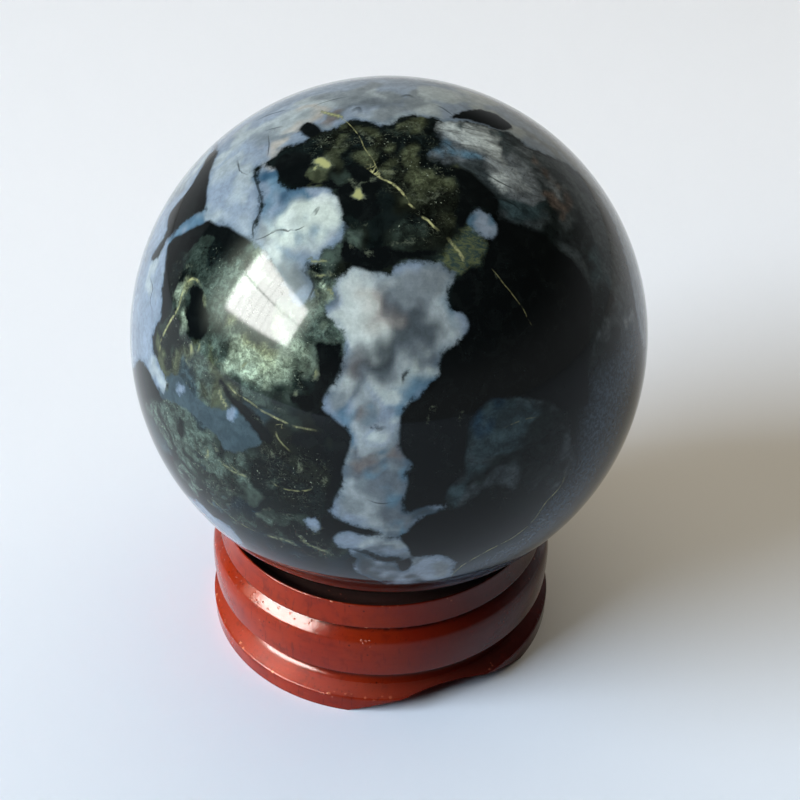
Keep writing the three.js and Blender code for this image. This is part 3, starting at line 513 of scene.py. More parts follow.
def segment_distance(points, line, closed):
    """Distance in millimetres from points to a chain of short chords, and the nearest chord."""
    a = line
    b = np.roll(line, -1, axis=0) if closed else line[1:]
    a = a if closed else line[:-1]
    ab = b - a
    len2 = np.maximum((ab ** 2).sum(1), 1e-14)
    best = np.full(len(points), 9.0)
    which = np.zeros(len(points), int)
    along = np.zeros(len(points))
    for lo in range(0, len(points), 20000):
        q = points[lo:lo + 20000]
        t = np.clip((q @ ab.T - (a * ab).sum(1)) / len2, 0, 1)
        near = a[None] + t[..., None] * ab[None] - q[:, None]
        d2 = (near ** 2).sum(2)
        k = d2.argmin(1)
        r = np.arange(len(q))
        best[lo:lo + 20000] = np.sqrt(d2[r, k])
        which[lo:lo + 20000] = k
        along[lo:lo + 20000] = k + t[r, k]
    return best * BALL_R / MM, which, along


CLAMP = 3.0


def outline_field(verts, points, steps=4):
    """Millimetres inside (+) or outside (-) of one closed outline."""
    line = rounded(points, True, steps)
    centre = line.mean(0)
    centre /= np.linalg.norm(centre)
    flat_line, reach = flat_about(line, centre)
    flat, ang = flat_about(verts, centre)
    field = np.full(len(verts), -CLAMP)
    near = np.nonzero(ang < reach.max() + CLAMP * MM / BALL_R)[0]
    d, _, _ = segment_distance(verts[near], line, True)
    px, py = flat[near, 0], flat[near, 1]
    inside = np.zeros(len(near), bool)
    n = len(flat_line)
    for i in range(n):
        x0, y0 = flat_line[i]
        x1, y1 = flat_line[(i + 1) % n]
        if y0 == y1:
            continue
        cross = (y0 > py) != (y1 > py)
        inside ^= cross & (px < (x1 - x0) * (py - y0) / (y1 - y0) + x0)
    field[near] = np.clip(np.where(inside, d, -d), -CLAMP, CLAMP)
    return field


def union(verts, group):
    f = np.full(len(verts), -CLAMP)
    for points in group.values():
        f = np.maximum(f, outline_field(verts, points))
    return f


TONES = {
    "milk": (184, 190, 182), "ivory": (184, 192, 180), "pearl": (149, 157, 156), "lavender": (123, 134, 145),
    "mist": (112, 119, 121), "dusk": (90, 97, 101), "lead": (50, 57, 59), "beige": (162, 156, 145),
    "rose": (102, 94, 89), "clay": (78, 70, 64), "sky": (88, 115, 130), "azure": (70, 97, 113),
    "deep": (36, 68, 88), "navy": (24, 44, 57), "steel": (82, 96, 102), "slate": (41, 55, 58),
    "night": (15, 30, 36), "pine": (14, 21, 19), "ink": (13, 19, 18), "jet": (6, 9, 9),
    "umber": (18, 21, 15), "moss": (38, 47, 41), "fern": (66, 78, 69), "olive": (64, 69, 50),
    "straw": (114, 118, 86), "sage": (144, 157, 133),
}


def toned(verts, dabs, ground, hold):
    """A blend of named tones laid on as ragged dabs over a ground tone."""
    bent = verts + 0.040 * np.stack([wavy(verts, 41 + i, 7.0, 2.6) for i in range(3)], 1)
    bent += 0.014 * np.stack([wavy(verts, 51 + i, 2.2, 0.9) for i in range(3)], 1)
    bent /= np.linalg.norm(bent, axis=1)[:, None]
    weight = np.full(len(verts), hold)
    total = weight[:, None] * ground
    for name, places in dabs.items():
        tone = np.array(srgb(*TONES[name]))
        for lon, lat, radius in places:
            d = np.degrees(np.arccos(np.clip(bent @ direction(lon, lat), -1, 1)))
            w = np.exp(-(d / (1.08 * radius)) ** 3)
            weight += w
            total += w[:, None] * tone
    return total / weight[:, None]


def tone(name):
    return np.array(srgb(*TONES[name]))


def put_colour(ob, name, values):
    a = ob.data.attributes.new(name, "FLOAT_COLOR", "POINT")
    four = np.ones((len(values), 4), np.float32)
    four[:, :3] = values
    a.data.foreach_set("color", four.ravel())


def line_fields(verts, group):
    """Across-distance over half width, with a sign for the side, and a strength that fades at the ends."""
    across = np.full(len(verts), 9.0)
    strength = np.zeros(len(verts))
    best = np.full(len(verts), 9.0)
    for entry in group:
        points, half, bright = entry[0], entry[1], (entry[2] if len(entry) > 2 else 1.0)
        line = rounded(points, False, 4)
        mid = line.mean(0)
        mid /= np.linalg.norm(mid)
        reach = np.arccos(np.clip(line @ mid, -1, 1)).max() + 1.5 * MM / BALL_R
        near = np.nonzero(verts @ mid > math.cos(min(reach, math.pi)))[0]
        d, k, along = segment_distance(verts[near], line, False)
        seg = line[1:] - line[:-1]
        side = np.sign(np.einsum("ij,ij->i", np.cross(seg[k], verts[near] - line[k]), verts[near]))
        ends = np.clip(np.minimum(along, len(line) - 1 - along) / 4.0, 0, 1)
        fade = np.clip(1.5 - d / 0.5, 0, 1) * ends
        win = d < best[near]
        idx = near[win]
        best[idx] = d[win]
        across[idx] = (d * side)[win] / half
        strength[idx] = (fade * bright)[win]
    return np.clip(across, -9, 9), strength


def wisp_field(verts, group):
    """Soft short streaks: strength at each point, without a side."""
    out = np.zeros(len(verts))
    for points, half, bright in group:
        line = rounded(points, False, 4)
        mid = line.mean(0)
        mid /= np.linalg.norm(mid)
        reach = np.arccos(np.clip(line @ mid, -1, 1)).max() + 1.5 * MM / BALL_R
        near = np.nonzero(verts @ mid > math.cos(min(reach, math.pi)))[0]
        d, _, along = segment_distance(verts[near], line, False)
        ends = 0.35 + 0.65 * np.clip(np.minimum(along, len(line) - 1 - along) / 3.0, 0, 1)
        out[near] = np.maximum(out[near], bright * ends * np.exp(-(d / max(1.5 * half, 0.24)) ** 2))
    return out


def wavy(verts, seed, longest, shortest, count=48):
    """Smooth random field with about unit spread."""
    rng = np.random.default_rng(seed)
    f = np.zeros(len(verts))
    for _ in range(count):
        k = rng.normal(size=3)
        k /= np.linalg.norm(k)
        length = math.exp(rng.uniform(math.log(shortest), math.log(longest)))
        f += math.sqrt(2.0 / count) * np.sin(verts @ k * (2 * math.pi * BALL_R / MM / length) + rng.uniform(0, 2 * math.pi))
    return f


def ball_grid(n):
    """Unit ball from a cube with evenly warped faces: vertices, quads."""
    t = np.tan(np.linspace(-math.pi / 4, math.pi / 4, n + 1))
    index = {}
    verts, quads = [], []

    def key(p):
        return tuple(int(round(c * 1e6)) for c in p)

    faces = [((1, 0, 0), (0, 1, 0), (0, 0, 1)), ((-1, 0, 0), (0, 0, 1), (0, 1, 0)),
             ((0, 1, 0), (0, 0, 1), (1, 0, 0)), ((0, -1, 0), (1, 0, 0), (0, 0, 1)),
             ((0, 0, 1), (1, 0, 0), (0, 1, 0)), ((0, 0, -1), (0, 1, 0), (1, 0, 0))]
    for w, a, b in faces:
        w, a, b = (np.array(q, float) for q in (w, a, b))
        ids = np.zeros((n + 1, n + 1), int)
        for i in range(n + 1):
            for j in range(n + 1):
                p = w + t[i] * a + t[j] * b
                p = p / np.linalg.norm(p)
                k = key(p)
                if k not in index:
                    index[k] = len(verts)
                    verts.append(p)
                ids[i, j] = index[k]
        quads.append(np.stack([ids[:-1, :-1], ids[1:, :-1], ids[1:, 1:], ids[:-1, 1:]], -1).reshape(-1, 4))
    verts = np.array(verts)
    quads = np.concatenate(quads)
    # all faces outwards
    a, b, c = verts[quads[:, 0]], verts[quads[:, 1]], verts[quads[:, 2]]
    flip = np.einsum("ij,ij->i", np.cross(b - a, c - a), a) < 0
    quads[flip] = quads[flip][:, ::-1]
    return verts, quads


def add_mesh(name, verts, faces):
    me = bpy.data.meshes.new(name)
    me.from_pydata(verts.tolist() if hasattr(verts, "tolist") else verts, [], faces.tolist() if hasattr(faces, "tolist") else faces)
    me.validate()
    me.update()
    ob = bpy.data.objects.new(name, me)
    bpy.context.scene.collection.objects.link(ob)
    return ob


def put_attribute(ob, name, values):
    a = ob.data.attributes.new(name, "FLOAT", "POINT")
    a.data.foreach_set("value", np.ascontiguousarray(values, np.float32))


def make_ball():
    verts, quads = ball_grid(128)
    ob = add_mesh("polished_ball", verts * BALL_R + np.array(BALL_C), quads)
    ob.data.polygons.foreach_set("use_smooth", [True] * len(ob.data.polygons))

    # the front follows the outlines; round the back the same stone goes on in looser shapes
    facing = np.degrees(np.arccos(np.clip(verts @ VIEW_DIR, -1, 1)))
    front = np.clip((92.0 - facing) / 10.0, 0, 1)
    front = front * front * (3 - 2 * front)

    def blend(own, far):
        return front * own + (1 - front) * np.clip(far, -CLAMP, CLAMP)

    big = wavy(verts, 11, 26.0, 9.0)
    mid = wavy(verts, 12, 9.0, 4.0)
    back_light = 3.2 * (big + 0.35 * mid - 0.25)
    back_black = 3.0 * (-big + 0.4 * wavy(verts, 13, 12.0, 5.0) - 0.55)
    back_smoke = 2.5 * (wavy(verts, 14, 24.0, 12.0) - 0.75)
    back_grain = 3.0 * (wavy(verts, 15, 20.0, 9.0) + 0.1)
    back_slate = 2.5 * (wavy(verts, 16, 14.0, 6.0) - 0.9)

    put_attribute(ob, "light", blend(union(verts, LIGHT), back_light))
    put_attribute(ob, "band", blend(union(verts, BAND), np.full(len(verts), -CLAMP)))
    put_attribute(ob, "smoke", blend(union(verts, SMOKE), back_smoke))
    put_attribute(ob, "rim_band", blend(union(verts, RIM_BAND), np.full(len(verts), -CLAMP)))
    put_attribute(ob, "black", blend(union(verts, BLACK), back_black))
    put_attribute(ob, "grain", blend(union(verts, GRAIN), back_grain))
    put_attribute(ob, "slate", blend(union(verts, SLATE), back_slate))
    f = front[:, None]

    def mixed(first, second, field):
        t = np.clip(0.5 + 0.5 * field, 0, 1)[:, None]
        return (1 - t) * first + t * second

    back_pale = mixed(mixed(tone("lavender"), tone("milk"), wavy(verts, 21, 9.0, 4.0)), tone("dusk"), wavy(verts, 22, 12.0, 5.0) - 0.4)
    back_dark = mixed(mixed(tone("ink"), tone("fern"), wavy(verts, 23, 10.0, 4.0)), tone("olive"), wavy(verts, 24, 7.0, 3.0) - 0.9)
    back_haze = mixed(tone("pine"), tone("mist"), wavy(verts, 25, 12.0, 5.0))
    put_colour(ob, "light_tone", f * toned(verts, LIGHT_TONES, tone("lavender"), 0.06) + (1 - f) * back_pale)
    put_colour(ob, "dark_tone", f * toned(verts, DARK_TONES, tone("ink"), 0.06) + (1 - f) * back_dark)
    put_colour(ob, "smoke_tone", f * toned(verts, SMOKE_TONES, tone("lead"), 0.06) + (1 - f) * back_haze)
    across, strength = line_fields(verts, VEINS)
    put_attribute(ob, "vein", across)
    put_attribute(ob, "vein_on", strength)
    put_attribute(ob, "wisp", wisp_field(verts, WISPS))
    across, strength = line_fields(verts, CRACKS)
    put_attribute(ob, "crack", across)
    put_attribute(ob, "crack_on", strength)
    ob.data.materials.append(stone_material())
    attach(ob, "root")
    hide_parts("stone_ball")
    return ob


# -------------------------------------------------------------- stone material


def stone_material():
    g = Tree("polished stone")
    p = g.vmul(g.coords(), (1000.0, 1000.0, 1000.0))          # millimetres
    coarse = g.noise(p, 2.2, 3.0, 0.55)
    rag = g.noise(p, 0.55, 4.0, 0.65, off=3.0)
    fine = g.noise(p, 0.16, 3.0, 0.7, off=7.0)
    wobble = g.add(g.mul(g.sub(coarse, 0.5), 0.6), g.mul(g.sub(rag, 0.5), 0.95), g.mul(g.sub(fine, 0.5), 0.35))

    def edge(name, soft, wob=1.0, shift=0.0):
        d = g.add(g.attr(name), g.mul(wobble, wob), shift)
        return g.step(d, -soft, soft)

    # dark body of the stone, granular in places, with pale specks
    cloud = g.noise(p, 1.1, 5.0, 0.62, 0.6, off=11.0)
    grit = g.noise(p, 0.24, 4.0, 0.75, 0.4, off=17.0)
    streaky = g.noise(g.turned(p, (0.3, 0.7, 0.9), (1.0, 2.8, 2.8)), 0.9, 5.0, 0.7, 1.2, off=23.0)
    mottle = g.noise(p, 0.62, 5.0, 0.68, 0.9, off=19.0)
    grained = edge("grain", 0.6, 1.6)
    dark = g.attr("dark_tone", "Color")
    dark = g.gain(dark, g.step(cloud, 0.30, 0.70, 0.55, 1.5))
    clumped = g.gain(dark, g.mul(g.step(mottle, 0.42, 0.60, 0.62, 1.38), g.step(grit, 0.32, 0.68, 0.72, 1.32)))
    dark = g.mix(grained, dark, clumped)
    wisps = g.mul(g.step(streaky, 0.58, 0.74), grained)
    dark = g.mix(g.mul(wisps, 0.5), dark, g.mix(0.45, g.gain(dark, 2.4), srgb(110, 114, 90)))
    # a fine net of pale threads, and small dark and pale flecks
    crossing = g.noise(g.turned(p, (0.5, -0.3, 0.4), (1.0, 1.7, 1.4)), 1.5, 4.0, 0.6, 1.4, off=83.0)
    thread = g.step(g.math("ABSOLUTE", g.sub(crossing, 0.5)), 0.004, 0.020, 1.0, 0.0)
    patchy = g.step(g.noise(p, 2.6, 3.0, 0.6, off=89.0), 0.48, 0.60)
    dark = g.mix(g.mul(thread, patchy, g.step(fine, 0.40, 0.58), g.add(g.mul(grained, 0.26), 0.08)), dark, srgb(118, 124, 104))
    fleck = g.mul(g.step(g.noise(p, 0.34, 3.0, 0.6, 0.3, off=73.0), 0.62, 0.70), grained)
    dark = g.mix(g.mul(fleck, 0.65), dark, g.gain(dark, 0.28))
    speck = g.mul(g.step(g.noise(p, 0.20, 2.0, 0.55, off=61.0), 0.65, 0.73), g.step(g.noise(p, 1.6, 2.0, 0.5, off=67.0), 0.46, 0.60), grained)
    dark = g.mix(g.mul(speck, 0.75), dark, srgb(150, 158, 138))

    # flat blue-grey slate with crisp edges
    slate = g.mix(g.step(cloud, 0.35, 0.65), srgb(47, 61, 66), srgb(58, 74, 79))
    slate = g.gain(slate, g.step(grit, 0.3, 0.7, 0.92, 1.08))
    dark = g.mix(edge("slate", 0.10, 0.7), dark, slate)

    # smoky, half clear areas
    drift = g.noise(g.turned(p, (0.2, -0.5, 0.6), (1.0, 2.4, 2.0)), 2.2, 6.0, 0.62, 0.8, off=31.0)
    smoke = g.gain(g.attr("smoke_tone", "Color"), g.step(drift, 0.34, 0.66, 0.66, 1.66))
    smoke = g.gain(smoke, g.mul(g.step(grit, 0.3, 0.7, 0.82, 1.2), g.step(mottle, 0.40, 0.62, 0.86, 1.14)))
    motes = g.step(g.noise(p, 0.26, 2.0, 0.6, off=71.0), 0.66, 0.72)
    smoke = g.mix(g.mul(motes, 0.6), smoke, srgb(24, 29, 28))
    col = g.mix(edge("smoke", 0.45, 1.2), dark, smoke)

    # speckled blue-grey band low on the right
    speck = g.step(g.noise(p, 0.24, 3.0, 0.7, off=37.0), 0.42, 0.62)
    rim_col = g.mix(speck, srgb(34, 44, 52), srgb(66, 82, 96))
    col = g.mix(g.mul(edge("rim_band", 1.4, 2.5), 0.85), col, rim_col)

    # greenish band
    band_col = g.mix(g.step(streaky, 0.40, 0.62), srgb(48, 62, 58), srgb(86, 92, 62))
    col = g.mix(edge("band", 0.3), col, band_col)

    # light patches, cloudy inside and bluer towards their edges
    haze = g.noise(p, 2.4, 4.0, 0.55, 0.4, off=41.0)
    milk = g.noise(p, 0.6, 5.0, 0.62, 0.3, off=43.0)
    light = g.gain(g.attr("light_tone", "Color"), g.mul(g.step(haze, 0.34, 0.66, 0.90, 1.10), g.step(milk, 0.36, 0.64, 0.90, 1.10), g.step(grit, 0.3, 0.7, 0.94, 1.06)))
    inner = g.step(g.add(g.attr("light"), g.mul(wobble, 0.8)), 0.0, 0.65, 1.0, 0.0)
    light = g.mix(g.mul(inner, 0.42), light, g.mix(0.6, g.gain(light, 0.58), srgb(62, 94, 116)))
    col = g.mix(edge("light", 0.21), col, light)

    # black patches over everything
    black_col = g.mix(g.step(cloud, 0.45, 0.75), srgb(9, 12, 12), srgb(17, 21, 20))
    col = g.mix(edge("black", 0.16, 0.7), col, black_col)

    # soft broken wisps, then veins and hairline cracks
    shred = g.noise(p, 0.42, 5.0, 0.72, 0.8, off=97.0)
    wisp = g.math("MULTIPLY", g.attr("wisp"), 1.25)
    laid = g.mul(g.step(g.add(wisp, g.mul(g.sub(shred, 0.5), 1.5)), 0.22, 0.62), g.step(wisp, 0.03, 0.20))
    col = g.mix(g.mul(laid, 0.85), col, g.mix(g.step(wisp, 0.35, 0.85), srgb(88, 94, 78), srgb(168, 168, 112)))
    broken = g.step(g.noise(p, 0.7, 3.0, 0.6, off=53.0), 0.36, 0.52)
    wav = g.mul(g.sub(rag, 0.5), 1.2)
    vein = g.math("ABSOLUTE", g.add(g.attr("vein"), wav))
    vein = g.mul(g.step(vein, 0.3, 1.2, 1.0, 0.0), g.attr("vein_on"), broken)
    col = g.mix(g.clamp(vein), col, g.mix(g.step(rag, 0.42, 0.6), srgb(112, 112, 80), srgb(176, 174, 122)))
    crack = g.math("ABSOLUTE", g.add(g.attr("crack"), wav))
    crack = g.mul(g.step(crack, 0.3, 1.2, 1.0, 0.0), g.attr("crack_on"))
    col = g.mix(g.mul(crack, 0.75), col, srgb(26, 32, 33))

    rough = g.ramp(fine, 0.3, 0.7, 0.045, 0.075)
    g.shader(Base_Color=col, Roughness=rough, IOR=1.25)
    return g.mat


# ------------------------------------------------------------------- the stand

STAND_X = (STAND_LOW.x + STAND_HIGH.x) / 2 / MM


def bow(a, b, sag, steps):
    length = math.hypot(b[0] - a[0], b[1] - a[1])
    nx, nz = -(b[1] - a[1]) / length, (b[0] - a[0]) / length
    out = []
    for i in range(1, steps + 1):
        t = i / steps
        off = 4 * sag * t * (1 - t)
        out.append((a[0] + (b[0] - a[0]) * t + nx * off, a[1] + (b[1] - a[1]) * t + nz * off))
    return out


def turn(a, c, b, steps):
    out = []
    for i in range(1, steps + 1):
        t = i / steps
        out.append(tuple((1 - t) ** 2 * a[k] + 2 * t * (1 - t) * c[k] + t * t * b[k] for k in (0, 1)))
    return out


def stand_outline():
    """The turned outside, from the dish's middle over the lip and down to the table, in millimetres."""
    lip, collar, groove = (13.45, 10.72), (13.77, 8.62), (13.42, 8.42)
    shoulder, widest, foot = (14.16, 7.62), (14.5, 6.1), (14.42, 4.02)
    dish_z, dish_r = 8.9, 11.6
    lip_in = (lip[0] - 0.14, lip[1] - 0.03)
    o = [(0.0, dish_z)]
    o += bow(o[-1], (dish_r - 0.7, dish_z), 0.0, 8)
    slope = math.atan2(lip_in[1] - dish_z, lip_in[0] - dish_r)
    after = (dish_r + 0.7 * math.cos(slope), dish_z + 0.7 * math.sin(slope))
    o += turn(o[-1], (dish_r, dish_z), after, 8)
    o += bow(after, lip_in, 0.0, 8)
    o += turn(lip_in, (lip[0] - 0.05, lip[1] + 0.02), (lip[0], lip[1] - 0.07), 5)
    o += bow(o[-1], (collar[0], collar[1] + 0.06), -0.04, 12)
    o += turn(o[-1], (collar[0], collar[1]), (collar[0] - 0.06, collar[1] - 0.06), 4)
    o += bow(o[-1], groove, 0.0, 3)
    o += bow(groove, shoulder, 0.02, 12)
    o += turn(shoulder, (14.5, shoulder[1] - 0.34), widest, 14)
    o += bow(widest, (foot[0], foot[1] + 0.16), 0.03, 10)
    o += turn(o[-1], foot, (foot[0] - 0.16, foot[1] - 0.05), 5)
    o += bow(o[-1], (13.1, 3.66), 0.0, 6)
    o += bow(o[-1], (13.1, 2.92), 0.0, 3)
    o += turn(o[-1], (13.2, 2.45), (13.62, 2.18), 12)
    o += bow(o[-1], (14.56, 1.56), 0.0, 10)
    o += turn(o[-1], (14.73, 1.48), (14.73, 1.35), 5)
    o += bow(o[-1], (14.7, 0.0), 0.0, 8)
    o += bow(o[-1], (0.0, 0.0), 0.0, 6)
    return o


def lathe(outline, sectors, name):
    verts, faces = [], []
    rings = []
    for r, z in outline:
        if r < 1e-6:
            rings.append([len(verts)])
            verts.append((0.0, 0.0, z))
        else:
            rings.append(list(range(len(verts), len(verts) + sectors)))
            for i in range(sectors):
                a = 2 * math.pi * i / sectors
                verts.append((r * math.cos(a), r * math.sin(a), z))
    for lo, hi in zip(rings[:-1], rings[1:]):
        for i in range(sectors):
            j = (i + 1) % sectors
            if len(lo) == 1:
                faces.append((lo[0], hi[i], hi[j]))
            elif len(hi) == 1:
                faces.append((lo[i], hi[0], lo[j]))
            else:
                faces.append((lo[i], hi[i], hi[j], lo[j]))
    return add_mesh(name, verts, faces)


def seat_outline():
    """The cone that the ball rests in, as a cutter about the ball's own axis."""
    angle = math.radians(16)
    gap = BALL_R / MM + 0.12
    zc = BALL_C.z / MM
    ring_r, ring_z = gap * math.sin(angle), zc - gap * math.cos(angle)
    top = 9.5
    top_r = ring_r + (top - ring_z) / math.tan(angle)
    low = (2.2, ring_z + (2.2 - ring_r) * math.tan(angle))
    return [(0.0, top), (top_r, top), (ring_r, ring_z), low, (1.95, 5.9), (0.0, 5.9)]


def arch_cutter():
    half, high, turn_by = 7.8, 1.84, math.radians(22.7)
    radius = (half ** 2 + high ** 2) / (2 * high)
    cz = high - radius
    end = math.acos((-1 - cz) / radius)
    steps, depth = 64, 30.0
    ring = []
    for i in range(steps + 1):
        a = -end + 2 * end * i / steps
        ring.append((radius * math.sin(a), cz + radius * math.cos(a)))
    verts, faces = [], []
    for y in (-depth, depth):
        for x, z in ring:
            verts.append((x * math.cos(turn_by) - y * math.sin(turn_by), x * math.sin(turn_by) + y * math.cos(turn_by), z))
    n = len(ring)
    for i in range(n):
        j = (i + 1) % n
        faces.append((i, j, j + n, i + n))
    faces.append(tuple(reversed(range(n))))
    faces.append(tuple(range(n, 2 * n)))
    ob = add_mesh("arch_cutter", verts, faces)
    return ob


def face_out(ob):
    bm = bmesh.new()
    bm.from_mesh(ob.data)
    bmesh.ops.recalc_face_normals(bm, faces=bm.faces)
    bm.to_mesh(ob.data)
    bm.free()


def cut(ob, cutter):
    face_out(cutter)
    mod = ob.modifiers.new("cut", "BOOLEAN")
    mod.operation = "DIFFERENCE"
    mod.solver = "EXACT"
    mod.object = cutter
    dg = bpy.context.evaluated_depsgraph_get()
    me = bpy.data.meshes.new_from_object(ob.evaluated_get(dg))
    ob.modifiers.clear()
    old = ob.data
    ob.data = me
    bpy.data.meshes.remove(old)
    bpy.data.objects.remove(cutter)


def make_stand():
    ob = lathe(stand_outline(), 360, "lacquered_stand")
    face_out(ob)
    seat = lathe(seat_outline(), 180, "seat_cutter")
    seat.data.transform(Matrix.Translation((-STAND_X, 0, 0)))
    cut(ob, seat)
    cut(ob, arch_cutter())
    ob.data.transform(Matrix.Translation((STAND_X, 0, 0)))
    ob.data.transform(Matrix.Scale(MM, 4))
    bm = bmesh.new()
    bm.from_mesh(ob.data)
    bmesh.ops.remove_doubles(bm, verts=bm.verts, dist=1e-7)
    for f in bm.faces:
        f.smooth = True
    for e in bm.edges:
        if len(e.link_faces) == 2 and e.calc_face_angle(0) > math.radians(32):
            e.smooth = False
    bm.to_mesh(ob.data)
    bm.free()
    ob.data.name = "lacquered_stand"
    ob.data.materials.clear()
    ob.data.materials.append(lacquer_material())
    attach(ob, "root")
    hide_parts("wooden_stand")
    return ob


def lacquer_material():
    g = Tree("red lacquer on wood")
    p = g.vmul(g.coords(), (1000.0, 1000.0, 1000.0))
    sep = g.new("ShaderNodeSeparateXYZ")
    g.put(sep.inputs[0], p)
    x, y, z = sep.outputs["X"], sep.outputs["Y"], sep.outputs["Z"]
    x = g.sub(x, STAND_X)
    radius = g.math("SQRT", g.add(g.mul(x, x), g.mul(y, y)))
    drift = g.noise(p, 5.0, 3.0, 0.5, off=2.0)
    blotch = g.noise(p, 1.1, 4.0, 0.6, off=5.0)
    pores = g.noise(p, 0.12, 2.0, 0.6, off=9.0)
    turned = g.noise(g.vmul(p, (0.5, 0.5, 7.0)), 2.6, 3.0, 0.6, off=13.0)
    col = g.mix(g.step(drift, 0.35, 0.65), srgb(132, 30, 11), srgb(152, 41, 14))
    # painted shade: the lacquer is darkened round towards +X, where the stand lies in shade, and lightened a little
    # on the lit side
    shade_towards_x = g.add(g.mul(x, 0.90), g.mul(y, 0.10), g.mul(g.sub(drift, 0.5), 9.0))
    lit_side = g.step(shade_towards_x, -12.0, 10.5, 1.0, 0.0)
    side_light_and_shade = g.mix(lit_side, (0.15, 0.11, 0.14), (1.06, 1.12, 0.95))
    col = g.mix(1.0, col, side_light_and_shade, "MULTIPLY")
    col = g.mix(g.mul(g.step(blotch, 0.5, 0.75), 0.55), col, srgb(84, 17, 9))
    col = g.mix(g.mul(g.step(turned, 0.5, 0.8), 0.4), col, srgb(92, 20, 11))
    # thin streaks that run down the sides
    runs = g.step(g.noise(g.vmul(p, (1.0, 1.0, 0.12)), 0.30, 2.0, 0.6, off=15.0), 0.60, 0.72)
    col = g.mix(g.mul(runs, 0.45), col, srgb(70, 14, 9))
    # painted shade: the groove and the neck are darkened where shade falls below the collar and the band
    groove = g.step(g.math("ABSOLUTE", g.sub(z, 8.46)), 0.10, 0.34, 1.0, 0.0)
    neck = g.mul(g.step(z, 2.35, 2.8), g.step(z, 3.9, 4.05, 1.0, 0.0), g.step(radius, 14.0, 14.35, 1.0, 0.0))
    deep = g.clamp(g.add(g.mul(groove, g.step(g.noise(p, 0.8, 2.0, 0.5, off=33.0), 0.3, 0.55)), neck))
    col = g.mix(g.mul(deep, 0.85), col, srgb(32, 10, 8))
    # painted shade: the dish under the ball is painted near black, with a more even tone towards its middle; the
    # flat underside gets the same dark colour
    inside = g.mul(g.step(z, 5.5, 5.8), g.step(radius, 13.12, 13.38, 1.0, 0.0))
    under = g.step(z, 0.0, 0.12, 1.0, 0.0)
    shade_and_underside_col = g.mix(g.step(blotch, 0.4, 0.7), srgb(30, 12, 9), srgb(46, 18, 12))
    shade_and_underside_col = g.mix(g.step(radius, 12.3, 12.9, 0.8, 0.0), shade_and_underside_col, srgb(36, 13, 10))
    col = g.mix(g.clamp(g.add(inside, g.mul(under, 0.7))), col, shade_and_underside_col)
    # dust nubs under the lacquer, thickest low on the left of the band's top where the highlight falls; their
    # lighter colour is partly painted glints
    left = g.add(g.mul(x, -0.82), g.mul(y, -0.57))
    dust_and_glint_zone = g.mul(g.step(left, 9.5, 13.6), g.step(z, 7.0, 7.6), g.step(z, 8.5, 8.8, 1.0, 0.0))
    nub = g.cells(p, 0.42, "F1", 1.0)
    dust_nubs_and_glints = g.mul(g.step(nub, 0.16, 0.30, 1.0, 0.0), g.clamp(g.add(g.mul(dust_and_glint_zone, g.step(blotch, 0.46, 0.54)), g.step(g.noise(p, 1.5, 2.0, 0.5, off=39.0), 0.62, 0.70))))
    # painted highlights: bright glints strewn along the lip, the collar's lower edge and the flange rim, laid only
    # on the lit side; the beads are also raised a little in the bump
    edge_beads_and_glints = g.mul(g.step(g.cells(p, 0.55, "F1", 1.0), 0.16, 0.34, 1.0, 0.0),
                  g.clamp(g.add(g.step(g.math("ABSOLUTE", g.sub(z, 10.68)), 0.08, 0.16, 1.0, 0.0),
                                g.step(g.math("ABSOLUTE", g.sub(z, 8.55)), 0.10, 0.2, 1.0, 0.0),
                                g.step(g.math("ABSOLUTE", g.sub(z, 1.5)), 0.10, 0.2, 1.0, 0.0))))
    col = g.mix(g.mul(dust_nubs_and_glints, 0.40), col, srgb(190, 96, 66))
    strewn = g.step(g.noise(p, 0.9, 3.0, 0.6, off=49.0), 0.44, 0.60)
    col = g.mix(g.mul(edge_beads_and_glints, strewn, g.step(lit_side, 0.25, 0.9), 0.75), col, srgb(226, 142, 100))
    pits = g.mul(g.step(g.cells(g.vadd(p, (4.0, 1.0, 2.0)), 0.9, "F1", 1.0), 0.06, 0.13, 1.0, 0.0), g.step(drift, 0.45, 0.6))
    col = g.mix(g.mul(pits, 0.75), col, srgb(52, 14, 9))
    dust = g.mul(g.step(g.noise(p, 0.28, 3.0, 0.7, off=45.0), 0.56, 0.70), g.step(g.noise(p, 2.8, 2.0, 0.5, off=47.0), 0.45, 0.60))
    col = g.mix(g.mul(dust, 0.22), col, g.gain(col, 2.0))
    skin = g.noise(p, 0.9, 3.0, 0.5, off=29.0)
    orange_peel = g.noise(p, 0.33, 2.0, 0.5, off=35.0)
    height = g.add(g.mul(skin, 0.55), g.mul(orange_peel, 0.16), g.mul(pores, 0.03), g.mul(dust_nubs_and_glints, 0.9), g.mul(edge_beads_and_glints, 0.6), g.mul(turned, 0.12), g.mul(runs, -0.05))
    flange = g.mul(g.step(z, 1.45, 1.6), g.step(z, 2.1, 2.3, 1.0, 0.0))
    rough = g.add(g.ramp(orange_peel, 0.3, 0.7, 0.12, 0.20), g.mul(inside, 0.45), g.mul(under, 0.4), g.mul(flange, 0.22))
    g.shader(Base_Color=col, Roughness=rough, IOR=1.28, Normal=g.bump(height, 0.55, 0.00007))
    return g.mat


# ------------------------------------------------------------ floor and lights


